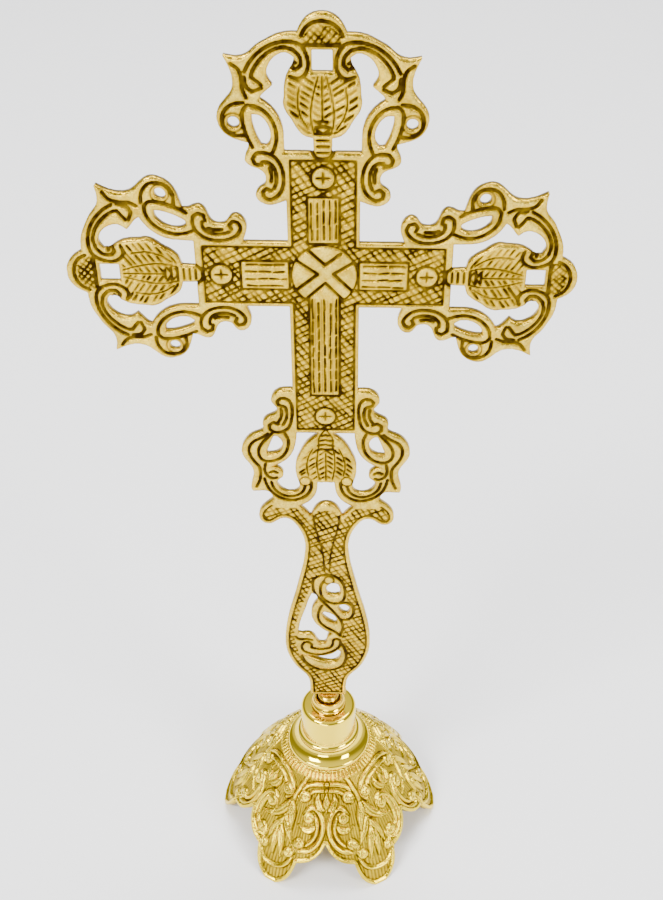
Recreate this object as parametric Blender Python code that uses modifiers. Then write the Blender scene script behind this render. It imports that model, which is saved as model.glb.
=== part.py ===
"""Altar cross: a pierced cast cross whose round pin stands in a turned socket on a six-lobed domed base.

Frame: +Z up, the cross faces -Y, and the origin is on the floor under the middle of the base.
The sizes and outlines below are in millimetres. MM turns them into metres where a shape is made.
"""

import math

import bmesh
import bpy
from mathutils import Matrix

MM = 0.001
GAP = 0.3  # kept between pieces that touch
MERGE = 0.000001  # metres, for modifiers that join coincident points
SEGMENTS = 36  # sides of a turned piece
OUTLINE_STEPS = 2  # edges between two points of an outer outline
HOLE_STEPS = 1  # edges between two points of a hole
SHARP_TURN = math.radians(52)  # an outline point that turns more than this is a corner

# Heights above the floor
CROSS_CENTRE = 214.4
FERRULE_TOP = 56.5
SOCKET_TOP = 53.0
SOCKET_FOOT = 39.9
SKIRT_FOOT = 34.8
DOME_TOP = SKIRT_FOOT - GAP

# The cross
PLATE_THICKNESS = 2.8
ARM_HALF_WIDTH = 8.8
NECK_HALF_WIDTH = 5.9
NECK_FOOT = -155.9
RING_HOLE = (20.4, 38.7)
RING_HOLE_RADIUS = 1.35
PIN_RADIUS = 3.4
PIN_END = 42.0

# The stand
BORE_RADIUS = PIN_RADIUS + GAP
BORE_FLOOR = 41.6
RECESS_RADIUS = 5.3
RECESS_FLOOR = 49.0
SOCKET_RADIUS = 9.2
SPIGOT_RADIUS = 6.0
SPIGOT_FOOT = 32.9
HUB_HOLE = SPIGOT_RADIUS + GAP
SKIRT_RADIUS = 13.9
DOME_WALL = 2.2
BASE_TURN = math.radians(-0.5)  # the base is screwed on very slightly turned from the cross
LOBES = 6

# The fixing under the dome
STUD_RADIUS = 2.4
CLEARANCE_RADIUS = STUD_RADIUS + GAP
STUD_HOLE_TOP = 39.0
WASHER_TOP = DOME_TOP - DOME_WALL - GAP
WASHER_RADIUS = 9.5
WASHER_THICKNESS = 1.3
SPRING_RADIUS = 4.6
SPRING_THICKNESS = 1.0
NUT_RADIUS = 4.62  # to the corners: 8 mm across flats
NUT_HEIGHT = 4.1

# Half of the ornament that ends the top and side arms: (across, outward from the middle of the cross)
ORNAMENT_EDGE = [
    (8.8, 19.9), (10.6, 19.2), (12.6, 18.7), (14.6, 19.2), (15.9, 20.6), (15.9, 22.0), (15.0, 23.0),
    (13.9, 23.8), (13.5, 25.2), (13.8, 26.6), (15.0, 27.6), (17.0, 28.4), (18.2, 29.6), (18.0, 31.2),
    (17.3, 32.6), (17.2, 33.9), (19.3, 34.5), (21.4, 35.3), (23.0, 36.6), (24.0, 38.8), (24.0, 41.0),
    (23.0, 42.8), (21.6, 44.4), (20.5, 46.0), (20.1, 47.8), (20.3, 49.8), (21.0, 51.8), (22.0, 53.8),
    (19.9, 53.4), (18.0, 53.5), (16.5, 54.2), (14.6, 55.8), (12.3, 57.1), (10.0, 58.2), (7.7, 58.7),
    (5.5, 58.8), (4.9, 60.1), (3.1, 62.2), (0.0, 63.1),
]  # fmt: skip
ORNAMENT_VOID = [
    (6.2, 53.5), (8.0, 54.5), (10.0, 53.9), (11.5, 52.5), (12.4, 50.5), (12.3, 49.0), (11.2, 47.3),
    (12.2, 46.4), (13.6, 45.2), (14.3, 44.2), (12.5, 43.0), (11.0, 41.5), (9.8, 39.5), (9.1, 37.0),
    (9.0, 34.0), (9.0, 31.8), (2.1, 31.8), (2.2, 35.2), (4.4, 35.9), (5.9, 37.5), (7.1, 39.6),
    (8.3, 41.3), (8.9, 43.2), (8.7, 45.0), (8.6, 47.0), (8.2, 49.0), (7.4, 50.6), (6.6, 52.0),
]  # fmt: skip
ORNAMENT_EYE = [
    (16.2, 40.6), (16.1, 38.5), (15.2, 35.4), (14.2, 33.4), (13.1, 33.2), (12.2, 34.5), (12.0, 36.5),
    (12.8, 38.8), (14.4, 40.4),
]  # fmt: skip
ORNAMENT_WINDOW = [(-2.3, 50.3), (-2.3, 55.2), (2.3, 55.2), (2.3, 50.3)]

# The castings weren't filed alike, so each ornament is a little stretched: by how much its clockwise
# side, its other side and its length grow, towards its outer end
STRETCH = {0: (1.01, 1.0, 1.0), 1: (1.02, 1.03, 1.0), 3: (1.055, 1.02, 1.03)}
STRETCH_START = 30.0
STRETCH_RAMP = 12.0

# Half of the scrollwork below the lower arm and of the handle: (across, up from the middle of the cross)
LOWER_EDGE = [
    (8.8, -34.2), (11.8, -34.3), (13.4, -35.1), (14.5, -36.6), (14.6, -38.0), (13.7, -39.4),
    (13.1, -40.4), (13.4, -41.6), (14.8, -42.7), (16.4, -43.6), (17.2, -44.9), (17.1, -46.4),
    (17.2, -47.7), (18.6, -48.5), (20.8, -49.6), (22.4, -51.4), (23.4, -53.8), (23.3, -56.0),
    (22.2, -58.2), (20.9, -60.3), (20.5, -62.5), (20.9, -65.0), (21.4, -67.4), (21.1, -69.0),
    (19.2, -69.0), (17.2, -69.0), (15.8, -70.2), (15.1, -71.9), (16.2, -73.0), (17.9, -74.5),
    (19.3, -76.5), (19.6, -78.8), (18.6, -80.7), (17.0, -81.3), (15.4, -80.8), (13.8, -79.6),
    (12.2, -79.1), (10.7, -79.6), (9.2, -81.2), (8.0, -83.2), (7.1, -85.4), (6.6, -87.7),
    (6.4, -90.0), (6.6, -93.0), (7.1, -97.0), (7.8, -100.5), (8.8, -105.0), (9.9, -110.0),
    (11.2, -115.0), (12.3, -120.0), (13.1, -125.0), (13.5, -130.0), (13.1, -135.0), (11.9, -139.0),
    (10.4, -142.2), (8.4, -144.8), (6.8, -147.0), (6.1, -149.4), (NECK_HALF_WIDTH, -152.0),
    (NECK_HALF_WIDTH, NECK_FOOT),
]  # fmt: skip
LEAF_VOID = [
    (8.0, -48.3), (8.1, -50.0), (8.4, -52.0), (9.0, -54.3), (10.3, -56.7), (12.0, -58.4), (13.9, -59.6),
    (15.5, -60.3), (13.8, -60.7), (12.7, -61.5), (12.1, -62.7), (12.4, -63.9), (13.3, -64.7),
    (14.0, -65.7), (13.8, -67.0), (12.8, -68.5), (11.4, -69.4), (9.9, -69.6), (8.5, -69.1),
    (7.6, -67.9), (7.6, -66.4), (7.9, -65.0), (8.4, -63.0), (8.6, -60.5), (8.3, -58.0), (7.3, -55.5),
    (6.1, -53.0), (4.9, -51.3), (3.5, -50.0), (2.5, -49.2), (2.1, -48.3),
]  # fmt: skip
TEAR_HOLE = [
    (13.5, -49.6), (12.3, -50.9), (12.0, -52.7), (12.7, -54.5), (14.2, -55.6), (16.2, -56.0),
    (16.5, -55.1), (15.8, -53.1), (15.0, -50.9), (14.4, -49.6),
]  # fmt: skip
FINIAL_VOID = [
    (0.0, -65.6), (1.3, -65.7), (2.4, -65.6), (2.6, -68.0), (3.2, -70.2), (4.5, -72.2), (6.1, -73.5),
    (7.9, -74.5), (6.8, -75.7), (5.5, -77.1), (4.6, -78.4), (4.0, -76.7), (3.0, -74.9), (1.6, -73.8),
    (0.0, -73.5),
]  # fmt: skip

# The openwork of the handle, which isn't symmetric
HANDLE_HOLES = [
    [
        (2.2, -105.1), (3.4, -105.5), (3.9, -107.1), (4.1, -109.1), (3.6, -110.2), (1.9, -110.5),
        (0.3, -110.0), (-0.3, -108.7), (-0.3, -107.1), (0.5, -105.8),
    ],
    [
        (-4.8, -109.4), (-5.8, -112.1), (-6.6, -115.1), (-7.5, -118.1), (-8.4, -121.1), (-9.0, -124.1),
        (-9.4, -127.5), (-8.0, -127.7), (-6.5, -127.5), (-5.0, -127.9), (-4.0, -129.1), (-3.3, -130.7),
        (-2.4, -131.7), (-1.2, -131.8), (-0.5, -131.0), (-0.3, -129.5), (0.2, -128.1), (1.5, -127.1),
        (-0.5, -125.9), (-2.3, -124.3), (-3.7, -122.6), (-4.6, -120.6), (-5.0, -118.6), (-4.8, -116.1),
        (-4.0, -114.1), (-3.0, -112.5), (-3.5, -110.5),
    ],
    [
        (4.0, -114.4), (5.6, -114.3), (6.8, -115.3), (7.0, -116.8), (6.1, -118.4), (5.0, -118.0),
        (3.8, -116.6), (3.3, -115.4),
    ],
    [
        (-0.9, -117.4), (0.6, -117.9), (2.1, -119.1), (2.9, -120.6), (3.1, -122.2), (2.3, -122.9),
        (1.1, -122.1), (-0.4, -120.9), (-1.6, -119.3), (-1.8, -118.1),
    ],
    [
        (-7.2, -137.3), (-5.0, -137.4), (-2.7, -137.5), (-0.2, -137.1), (1.8, -136.1), (3.3, -134.7),
        (4.1, -135.4), (4.2, -136.7), (3.8, -138.3), (3.0, -139.7), (1.8, -140.4), (0.3, -140.5),
        (-1.7, -140.0), (-3.7, -139.1), (-5.7, -138.1),
    ],
]  # fmt: skip

# Outer side of the dome from its centre hole down: (radius, height)
DOME_PROFILE = [
    (HUB_HOLE, DOME_TOP), (14.6, DOME_TOP), (17.2, 32.6), (20.0, 29.5), (24.0, 24.4), (28.0, 19.0),
    (31.2, 14.4), (34.3, 9.4), (36.6, 4.7), (38.4, 0.0), (38.8, -1.5),
]  # fmt: skip
# Half of the gap between two lobes, seen from outside: (across from the gap's middle, height)
LOBE_GAP = [
    (0.0, 16.2), (1.3, 14.2), (3.1, 12.4), (5.2, 11.0), (7.8, 10.0), (10.0, 9.5), (10.5, 8.3),
    (11.3, 6.4), (12.6, 4.2), (14.2, 2.3), (15.9, 0.9), (17.4, 0.0), (18.2, -3.0),
]  # fmt: skip
GAP_CUT = (22.0, 46.0)  # radii between which the cutter runs

FINISHES = {
    "antique_brass": ((0.72, 0.50, 0.15), 0.34),
    "bright_cast_brass": ((0.80, 0.60, 0.19), 0.28),
    "polished_brass": ((0.86, 0.68, 0.32), 0.08),
    "zinc_steel": ((0.55, 0.55, 0.52), 0.35),
}


def clear_scene():
    for item in list(bpy.data.objects):
        bpy.data.objects.remove(item, do_unlink=True)


def new_collection(name):
    made = bpy.data.collections.new(name)
    bpy.context.scene.collection.children.link(made)
    return made


def new_material(name):
    colour, roughness = FINISHES[name]
    made = bpy.data.materials.new(name)
    made.use_nodes = True
    shader = made.node_tree.nodes["Principled BSDF"]
    shader.inputs["Base Color"].default_value = (*colour, 1.0)
    shader.inputs["Roughness"].default_value = roughness
    shader.inputs["Metallic"].default_value = 1.0
    return made


def add_object(name, data, collection, material=None):
    made = bpy.data.objects.new(name, data)
    collection.objects.link(made)
    if material:
        data.materials.append(material)
    return made


def add_cutter(name, data):
    made = add_object(name, data, cutters)
    made.hide_render = True
    made.display_type = "WIRE"
    return made


def cut(target, cutter):
    modifier = target.modifiers.new("cut_" + cutter.name, "BOOLEAN")
    modifier.operation = "DIFFERENCE"
    modifier.object = cutter


def in_metres(points):
    return [(a * MM, b * MM) for a, b in points]


def arc(centre, radius, start, end, steps):
    """Points on a circle from one angle to another, in degrees."""
    angles = [math.radians(start + (end - start) * i / steps) for i in range(steps + 1)]
    return [(centre[0] + radius * math.cos(a), centre[1] + radius * math.sin(a)) for a in angles]


def mirrored(half):
    """The whole loop of a half that starts and ends on its mirror line."""
    return half + [(-a, b) for a, b in reversed(half) if a > 0]


def quarter_turned(points, quarters):
    """Outline points turned clockwise about the middle of the cross by quarters of a turn."""
    for _ in range(quarters):
        points = [(b, -a) for a, b in points]
    return points


def turned_profile(name, profile, closed):
    """A wire in the XZ plane that a Screw modifier can turn."""
    mesh = bpy.data.meshes.new(name)
    count = len(profile)
    edges = [(i, i + 1) for i in range(count - 1)] + ([(count - 1, 0)] if closed else [])
    mesh.from_pydata([(r, 0.0, z) for r, z in in_metres(profile)], edges, [])
    return mesh


def turn_on_axis(item):
    screw = item.modifiers.new("turned", "SCREW")
    screw.axis = "Z"
    screw.angle = 2 * math.pi
    screw.steps = screw.render_steps = SEGMENTS
    screw.use_merge_vertices = True
    screw.merge_threshold = MERGE
    screw.use_smooth_shade = True


def turned(name, profile, material, closed=True):
    """A solid of revolution. The profile runs down its outer side."""
    item = add_object(name, turned_profile(name, profile, closed), cross_parts, material)
    turn_on_axis(item)
    return item


def cylinder_mesh(name, radius, bottom, top, sides=SEGMENTS):
    mesh = bpy.data.meshes.new(name)
    build = bmesh.new()
    middle = Matrix.Translation((0, 0, (bottom + top) / 2 * MM))
    bmesh.ops.create_cone(
        build,
        cap_ends=True,
        segments=sides,
        radius1=radius * MM,
        radius2=radius * MM,
        depth=(top - bottom) * MM,
        matrix=middle,
    )
    build.to_mesh(mesh)
    build.free()
    return mesh


def box_mesh(name, low, high):
    mesh = bpy.data.meshes.new(name)
    build = bmesh.new()
    bmesh.ops.create_cube(build, size=1.0)
    for corner in build.verts:
        for axis in range(3):
            corner.co[axis] = (high if corner.co[axis] > 0 else low)[axis] * MM
    build.to_mesh(mesh)
    build.free()
    return mesh


def turns_sharply(before, here, after):
    heading_in = math.atan2(here[1] - before[1], here[0] - before[0])
    heading_out = math.atan2(after[1] - here[1], after[0] - here[0])
    turn = (heading_out - heading_in + math.pi) % (2 * math.pi) - math.pi
    return abs(turn) > SHARP_TURN


def add_loop(curve, points, steps):
    """A closed smooth loop through the points, with a corner where they turn sharply."""
    loop = curve.splines.new("BEZIER")
    loop.bezier_points.add(len(points) - 1)
    loop.use_cyclic_u = True
    loop.resolution_u = steps
    for i, (a, b) in enumerate(points):
        point = loop.bezier_points[i]
        point.co = (a * MM, b * MM, 0.0)
        sharp = turns_sharply(points[i - 1], points[i], points[(i + 1) % len(points)])
        point.handle_left_type = point.handle_right_type = "VECTOR" if sharp else "AUTO"


def flat_curve(name, loops, thickness):
    """A flat plate: the first loop is its outline and the others are holes."""
    curve = bpy.data.curves.new(name, "CURVE")
    curve.dimensions = "2D"
    curve.fill_mode = "BOTH"
    curve.extrude = thickness / 2 * MM
    add_loop(curve, loops[0], OUTLINE_STEPS)
    for points in loops[1:]:
        add_loop(curve, points, HOLE_STEPS)
    return curve


def on_arm(points, quarters):
    """Ornament points put on one arm, with that ornament's own stretch."""
    clockwise, other, length = STRETCH[quarters]
    placed = []
    for a, b in points:
        beyond = max(b - STRETCH_START, 0)
        share = min(beyond / STRETCH_RAMP, 1)
        grown = (clockwise if a > 0 else other) - 1
        placed.append((a * (1 + grown * share), b + beyond * (length - 1)))
    return quarter_turned(placed, quarters)


def ornament_edge(quarters):
    """The outer edge of one arm's ornament, clockwise from one side of the arm to the other."""
    left = [(-a, b) for a, b in ORNAMENT_EDGE[:-1]]
    return on_arm(left + ORNAMENT_EDGE[::-1], quarters)


def cross_outline():
    corner = ARM_HALF_WIDTH
    lower = LOWER_EDGE + [(-a, b) for a, b in reversed(LOWER_EDGE)]
    outline = ornament_edge(0) + [(corner, corner)] + ornament_edge(1) + [(corner, -corner)]
    return outline + lower + [(-corner, -corner)] + ornament_edge(3) + [(-corner, corner)]


def ornament_holes(quarters):
    holes = [ORNAMENT_WINDOW]
    for side in (1, -1):
        ring = arc(RING_HOLE, RING_HOLE_RADIUS, 0, 315, 7)
        for hole in (ORNAMENT_VOID, ORNAMENT_EYE, ring):
            holes.append([(side * a, b) for a, b in hole])
    return [on_arm(hole, quarters) for hole in holes]


def cross_holes():
    holes = [hole for quarters in (0, 1, 3) for hole in ornament_holes(quarters)]
    for side in (1, -1):
        for hole in (LEAF_VOID, TEAR_HOLE):
            holes.append([(side * a, b) for a, b in hole])
    return holes + [mirrored(FINIAL_VOID)] + HANDLE_HOLES


def make_cross():
    """The cast plate: arms, ornaments, lower scrollwork and handle in one piece."""
    plate = flat_curve("cross", [cross_outline()] + cross_holes(), PLATE_THICKNESS)
    item = add_object("cross", plate, cross_parts, materials["antique_brass"])
    item.location = (0, 0, CROSS_CENTRE * MM)
    item.rotation_euler = (math.pi / 2, 0, 0)


def make_cross_pin():
    """The round pin under the handle, which drops into the socket."""
    top = CROSS_CENTRE + NECK_FOOT - GAP
    profile = [(0, top), (2.7, top), (PIN_RADIUS, top - 0.6), (PIN_RADIUS, PIN_END + 1.2)]
    profile += [(PIN_RADIUS - 0.9, PIN_END), (0, PIN_END)]
    turned("cross_pin", profile, materials["antique_brass"], closed=False)


def make_ferrule():
    """The flanged bush that the pin passes through. It turns loosely in the socket's recess."""
    foot = SOCKET_TOP + GAP
    shank = RECESS_RADIUS - GAP
    flange = [(4.1, FERRULE_TOP)] + arc((4.35, FERRULE_TOP - 0.35), 0.35, 90, 0, 3)
    flange += arc((6.9, FERRULE_TOP - 0.5), 2.15, 184, 232, 4) + [(5.75, foot + 0.6), (5.75, foot)]
    inside = [(shank, foot), (shank, RECESS_FLOOR + GAP), (BORE_RADIUS, RECESS_FLOOR + GAP)]
    inside += [(BORE_RADIUS, FERRULE_TOP - 1.9), (4.1, FERRULE_TOP - 1.2)]
    turned("ferrule", flange + inside, materials["polished_brass"])


def make_socket():
    """The turned post: recess and blind bore for the pin above, spigot and screw hole below."""
    edge = 1.5
    bore = [(0, BORE_FLOOR), (BORE_RADIUS, BORE_FLOOR), (BORE_RADIUS, RECESS_FLOOR)]
    rim = [(RECESS_RADIUS, RECESS_FLOOR), (RECESS_RADIUS, SOCKET_TOP)]
    rim += arc((SOCKET_RADIUS - edge, SOCKET_TOP - edge), edge, 90, 0, 5)
    foot = arc((10.6, SOCKET_FOOT + 1.9), 1.4, 180, 259, 4) + [(10.3, SOCKET_FOOT)]
    spigot = [(SPIGOT_RADIUS, SOCKET_FOOT), (SPIGOT_RADIUS, SPIGOT_FOOT)]
    tap = [(CLEARANCE_RADIUS, SPIGOT_FOOT), (CLEARANCE_RADIUS, STUD_HOLE_TOP), (0, STUD_HOLE_TOP)]
    turned("socket", bore + rim + foot + spigot + tap, materials["polished_brass"], closed=False)


def make_skirt_ring():
    """The polished collar between the socket and the cast dome."""
    top = SOCKET_FOOT - GAP
    flank = arc((15.4, 41.3), 5.3, 199, 249, 5)
    profile = [(HUB_HOLE, top)] + flank + [(SKIRT_RADIUS, 36.0), (SKIRT_RADIUS, SKIRT_FOOT)]
    turned("skirt_ring", profile + [(HUB_HOLE, SKIRT_FOOT)], materials["polished_brass"])


def lobe_gap_cutter(index):
    """A bar with the outline of the gap between two lobes, pointing outward."""
    name = f"lobe_gap_{index}"
    near, far = GAP_CUT
    outline = flat_curve(name, [mirrored(LOBE_GAP)], far - near)
    shape = add_object(name, outline, cutters)
    turn = Matrix.Rotation(BASE_TURN + index * 2 * math.pi / LOBES, 4, "Z")
    reach = Matrix.Translation((0, -(near + far) / 2 * MM, 0))
    shape.matrix_world = turn @ reach @ Matrix.Rotation(math.pi / 2, 4, "X")
    return solid_from_curve(shape)


def solid_from_curve(shape):
    """The curve object made a closed mesh, so that it can cut."""
    bpy.context.view_layer.update()
    seen = shape.evaluated_get(bpy.context.evaluated_depsgraph_get())
    mesh = bpy.data.meshes.new_from_object(seen)
    place, name = shape.matrix_world.copy(), shape.name
    bpy.data.objects.remove(shape)
    build = bmesh.new()
    build.from_mesh(mesh)
    bmesh.ops.remove_doubles(build, verts=build.verts, dist=MERGE)
    bmesh.ops.recalc_face_normals(build, faces=build.faces)
    build.to_mesh(mesh)
    build.free()
    made = add_cutter(name, mesh)
    made.matrix_world = place
    return made


def make_base_dome():
    """The cast shell: a turned dome whose edge is cut into six lobes that stand on their tips."""
    profile = turned_profile("base_dome", DOME_PROFILE, closed=False)
    dome = add_object("base_dome", profile, cross_parts, materials["bright_cast_brass"])
    turn_on_axis(dome)
    wall = dome.modifiers.new("wall", "SOLIDIFY")
    wall.thickness = DOME_WALL * MM
    wall.offset = -1
    wall.use_even_offset = True
    for index in range(LOBES):
        cut(dome, lobe_gap_cutter(index))
    cut(dome, add_cutter("floor_cut", box_mesh("floor_cut", (-50, -50, -10), (50, 50, 0))))


def make_fixing():
    """The stud, washers and nut that pull the socket down onto the dome."""
    steel = materials["zinc_steel"]
    washer_foot = WASHER_TOP - WASHER_THICKNESS
    spring_top = washer_foot - GAP
    nut_top = spring_top - SPRING_THICKNESS - GAP
    stud_foot = nut_top - NUT_HEIGHT - 2.0
    stud = cylinder_mesh("clamp_stud", STUD_RADIUS, stud_foot, STUD_HOLE_TOP - GAP, 24)
    add_object("clamp_stud", stud, cross_parts, steel)
    turned("plain_washer", ring_profile(WASHER_RADIUS, WASHER_TOP, WASHER_THICKNESS), steel)
    spring = turned("spring_washer", ring_profile(SPRING_RADIUS, spring_top, SPRING_THICKNESS), steel)
    slot = box_mesh("washer_slot", (-0.5, 1.0, spring_top - 2), (0.5, 8.0, spring_top + 1))
    cut(spring, add_cutter("washer_slot", slot))
    nut = cylinder_mesh("hex_nut", NUT_RADIUS, nut_top - NUT_HEIGHT, nut_top, 6)
    nut_object = add_object("hex_nut", nut, cross_parts, steel)
    thread = cylinder_mesh("nut_thread", CLEARANCE_RADIUS, stud_foot - 5, nut_top + 5, 24)
    cut(nut_object, add_cutter("nut_thread", thread))


def ring_profile(radius, top, thickness):
    foot = top - thickness
    return [(radius, top), (radius, foot), (CLEARANCE_RADIUS, foot), (CLEARANCE_RADIUS, top)]


clear_scene()
cross_parts = new_collection("altar_cross")
cutters = new_collection("cutters")
materials = {name: new_material(name) for name in FINISHES}
make_cross()
make_cross_pin()
make_ferrule()
make_socket()
make_skirt_ring()
make_base_dome()
make_fixing()
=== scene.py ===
"""Looks of the altar cross: engraved cast cross, relief dome and polished turned stand.

The cross and the dome are replaced by fine relief meshes: a plate whose two faces carry the
engraving, and a shell whose outside carries the scrollwork. The turned pieces are replaced by
smooth turned meshes, and the steel fixing keeps its CAD nodes. Lengths in tables are millimetres,
(across, up) from the middle of the cross, unless a comment says otherwise.
"""

import math

import bpy
import numpy as np
from mathutils import Matrix, Vector


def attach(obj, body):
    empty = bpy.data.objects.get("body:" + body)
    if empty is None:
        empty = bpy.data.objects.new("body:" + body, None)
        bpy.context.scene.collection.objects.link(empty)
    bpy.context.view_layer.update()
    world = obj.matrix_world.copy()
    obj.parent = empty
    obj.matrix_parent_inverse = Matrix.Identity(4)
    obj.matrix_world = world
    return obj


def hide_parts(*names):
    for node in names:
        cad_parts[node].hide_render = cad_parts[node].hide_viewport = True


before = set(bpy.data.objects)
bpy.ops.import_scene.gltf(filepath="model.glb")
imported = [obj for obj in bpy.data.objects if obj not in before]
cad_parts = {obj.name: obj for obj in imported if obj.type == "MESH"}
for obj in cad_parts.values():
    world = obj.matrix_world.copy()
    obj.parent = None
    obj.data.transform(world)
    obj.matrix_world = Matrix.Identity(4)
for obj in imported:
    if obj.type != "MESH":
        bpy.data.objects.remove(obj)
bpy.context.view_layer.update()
MM = 0.001

# ---- Sizes ----------------------------------------------------------------------------------

CROSS_CENTRE = 214.4
PLATE_THICKNESS = 2.8
PLATE_STEP = 0.32  # grid spacing of the cross
SHARP_TURN = math.radians(50)  # a drawn line keeps a corner where it turns more than this
CURVE_STEPS = 5
WELD_STEPS = 200  # corners of the CAD mesh are matched to 1/200 mm

# ---- Engraving of the cross -----------------------------------------------------------------

FIELD_EDGE = 7.7  # the plain border runs outside this
ARM_FIELD_END = 29.9
LOWER_FIELD_END = -46.9
DISC_RADIUS = 8.2
MEDALLION_RADIUS = 2.9
MEDALLIONS = [(0.0, 25.6), (25.6, 0.0), (-25.6, 0.0), (0.0, -42.6)]
PANELS = [  # (low across, low up, high across, high up, runs upright)
    (-3.9, 8.7, 3.9, 20.8, True),
    (-20.7, -3.9, -8.6, 3.9, False),
    (8.6, -3.9, 21.0, 3.9, False),
    (-3.9, -35.8, 3.9, -5.8, True),
]
SALTIRE = [  # the four notches of the X on the disc: (point, one end, other end)
    ((0.3, 3.0), (-4.0, 7.1), (4.2, 6.2)),
    ((-1.5, 0.5), (-6.9, 4.3), (-6.9, -3.9)),
    ((2.3, 0.6), (7.2, 3.7), (6.9, -4.0)),
    ((0.3, -1.9), (-4.2, -6.1), (4.4, -6.2)),
]

# Half of the ornament at the end of an arm: (across, outward)
END_SCROLL = [
    [
        (14.4, 28.6), (15.9, 28.9), (16.4, 30.2), (15.4, 31.5), (13.4, 31.6), (11.6, 30.9),
        (10.2, 29.3), (9.4, 27.0), (9.3, 24.6), (9.9, 22.4), (11.1, 20.9), (12.7, 20.1),
        (14.1, 20.7), (14.4, 22.0), (13.4, 22.9), (12.3, 22.3),
    ],
    [(14.2, 29.4), (12.8, 29.3), (11.6, 28.3), (11.0, 26.6), (11.0, 24.6), (11.6, 22.9)],
    [(12.5, 28.0), (12.1, 26.4), (12.2, 24.6)],
]  # fmt: skip
END_GROOVES = [
    [
        (11.6, 31.8), (10.9, 33.6), (10.6, 36.0), (11.3, 38.8), (13.0, 41.2), (15.0, 42.4),
        (17.0, 42.7), (18.1, 41.6), (18.3, 39.8), (18.0, 37.6), (17.3, 35.2), (16.2, 32.9),
    ],
    [(17.9, 43.3), (20.3, 42.9), (22.3, 41.4), (23.0, 39.0), (22.2, 36.9), (20.3, 35.7), (18.2, 35.7)],
    [(13.6, 47.3), (15.9, 49.1), (15.5, 50.4), (14.0, 52.6), (11.6, 54.6), (8.8, 55.6), (6.4, 55.2)],
    [(6.4, 55.2), (4.9, 53.6), (4.7, 51.8), (5.8, 50.8), (6.9, 51.4), (6.6, 52.4), (5.9, 52.3)],
    [
        (17.3, 50.2), (16.0, 52.4), (13.6, 54.8), (10.6, 56.4), (7.4, 56.9), (4.8, 56.2),
        (3.4, 54.0), (3.1, 51.6), (3.9, 49.7), (5.4, 48.8), (7.2, 49.3),
    ],
    [(20.3, 52.0), (18.6, 50.6), (18.0, 48.4), (17.9, 46.2), (17.1, 44.4)],
    [(13.6, 46.6), (15.6, 45.8), (17.0, 46.9), (17.4, 49.0)],
    [(0.0, 61.4), (2.1, 60.9), (3.7, 59.7), (4.6, 58.1)],
    [(0.0, 56.1), (4.0, 56.2)],
    [(0.0, 30.2), (1.4, 30.5), (2.4, 31.6)],
]  # fmt: skip
END_RINGS = [(20.4, 38.7, 2.2)]  # (across, outward, radius)
CAP_FIELD = [(0.0, 60.6), (1.8, 60.3), (3.2, 59.3), (4.1, 57.9), (4.3, 56.5), (0.0, 56.3)]
# How much each ornament's clockwise side, its other side and its length grow
STRETCH = {0: (1.01, 1.0, 1.0), 1: (1.02, 1.03, 1.0), 3: (1.055, 1.02, 1.03)}
STRETCH_START = 30.0
STRETCH_RAMP = 12.0

# The leaf at the end of an arm, half of it: (across, outward)
LEAF_FIELD = [
    (0.0, 36.0), (3.9, 36.4), (5.3, 37.9), (6.7, 40.2), (7.8, 42.4), (8.0, 45.0), (7.7, 47.4),
    (7.0, 49.0), (3.0, 49.4), (0.0, 49.6),
]  # fmt: skip
LEAF_VEINS = [
    [(1.9, 36.2), (2.5, 38.6), (2.6, 41.6), (2.0, 45.4), (0.9, 49.4)],
    [(3.2, 37.4), (4.9, 40.2), (5.6, 43.4), (5.2, 47.0)],
    [(0.0, 39.6), (0.0, 49.4)],
]
# Ridges across the leaf's stem: (outward, half length)
STEM_RIDGES = [(31.9, 1.3), (33.3, 1.4), (34.8, 1.4), (36.3, 1.9), (37.8, 1.7), (39.2, 1.2)]

# Half of the scrollwork below the lower arm: (across, up)
LOWER_GROOVES = [
    [
        (11.2, -39.5), (12.7, -39.1), (13.1, -37.9), (12.0, -36.9), (10.3, -37.1), (9.3, -38.5),
        (9.0, -40.6), (9.2, -43.2), (9.9, -46.0), (11.5, -47.7), (13.8, -48.2), (15.3, -47.2),
        (15.4, -45.7), (14.2, -44.8), (12.9, -45.5),
    ],
    [(10.8, -39.8), (10.5, -41.6), (10.7, -43.6), (11.6, -45.6)],
    [(12.1, -40.3), (11.9, -41.8), (12.2, -43.4), (13.0, -44.9)],
    [
        (11.2, -48.5), (10.4, -50.6), (10.5, -53.0), (11.4, -55.4), (13.1, -57.3), (15.3, -58.2),
        (17.3, -58.0), (18.6, -56.4), (18.7, -54.2), (17.7, -52.0), (16.2, -50.2), (14.9, -48.7),
    ],
    [
        (16.0, -48.7), (17.9, -50.2), (20.1, -51.5), (21.3, -53.5), (21.2, -56.0), (20.0, -58.4),
        (18.8, -60.2), (18.5, -62.6), (18.9, -65.2), (19.9, -67.4),
    ],
    [(17.0, -59.2), (17.3, -61.4), (16.6, -63.4), (15.0, -64.3), (13.9, -64.0)],
    [(13.7, -62.3), (14.8, -61.8), (15.9, -62.3)],
    [
        (17.5, -64.4), (16.9, -66.8), (15.6, -69.3), (13.4, -71.2), (10.4, -72.2), (7.6, -71.7),
        (5.4, -70.0), (4.3, -67.7), (4.1, -65.6),
    ],
    [(15.6, -65.6), (14.9, -67.9), (13.2, -69.8), (10.7, -70.8), (8.2, -70.3), (6.6, -68.8), (6.0, -67.0)],
]  # fmt: skip
LOWER_RINGS = [(5.9, -65.2, 1.6)]  # (across, up, radius)
LOWER_LEAF_FIELD = [
    (0.0, -53.6), (3.4, -53.2), (5.2, -54.9), (6.8, -57.4), (7.6, -60.4), (7.5, -63.0), (4.6, -63.6),
    (3.6, -65.0), (0.0, -65.0),
]  # fmt: skip
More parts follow.
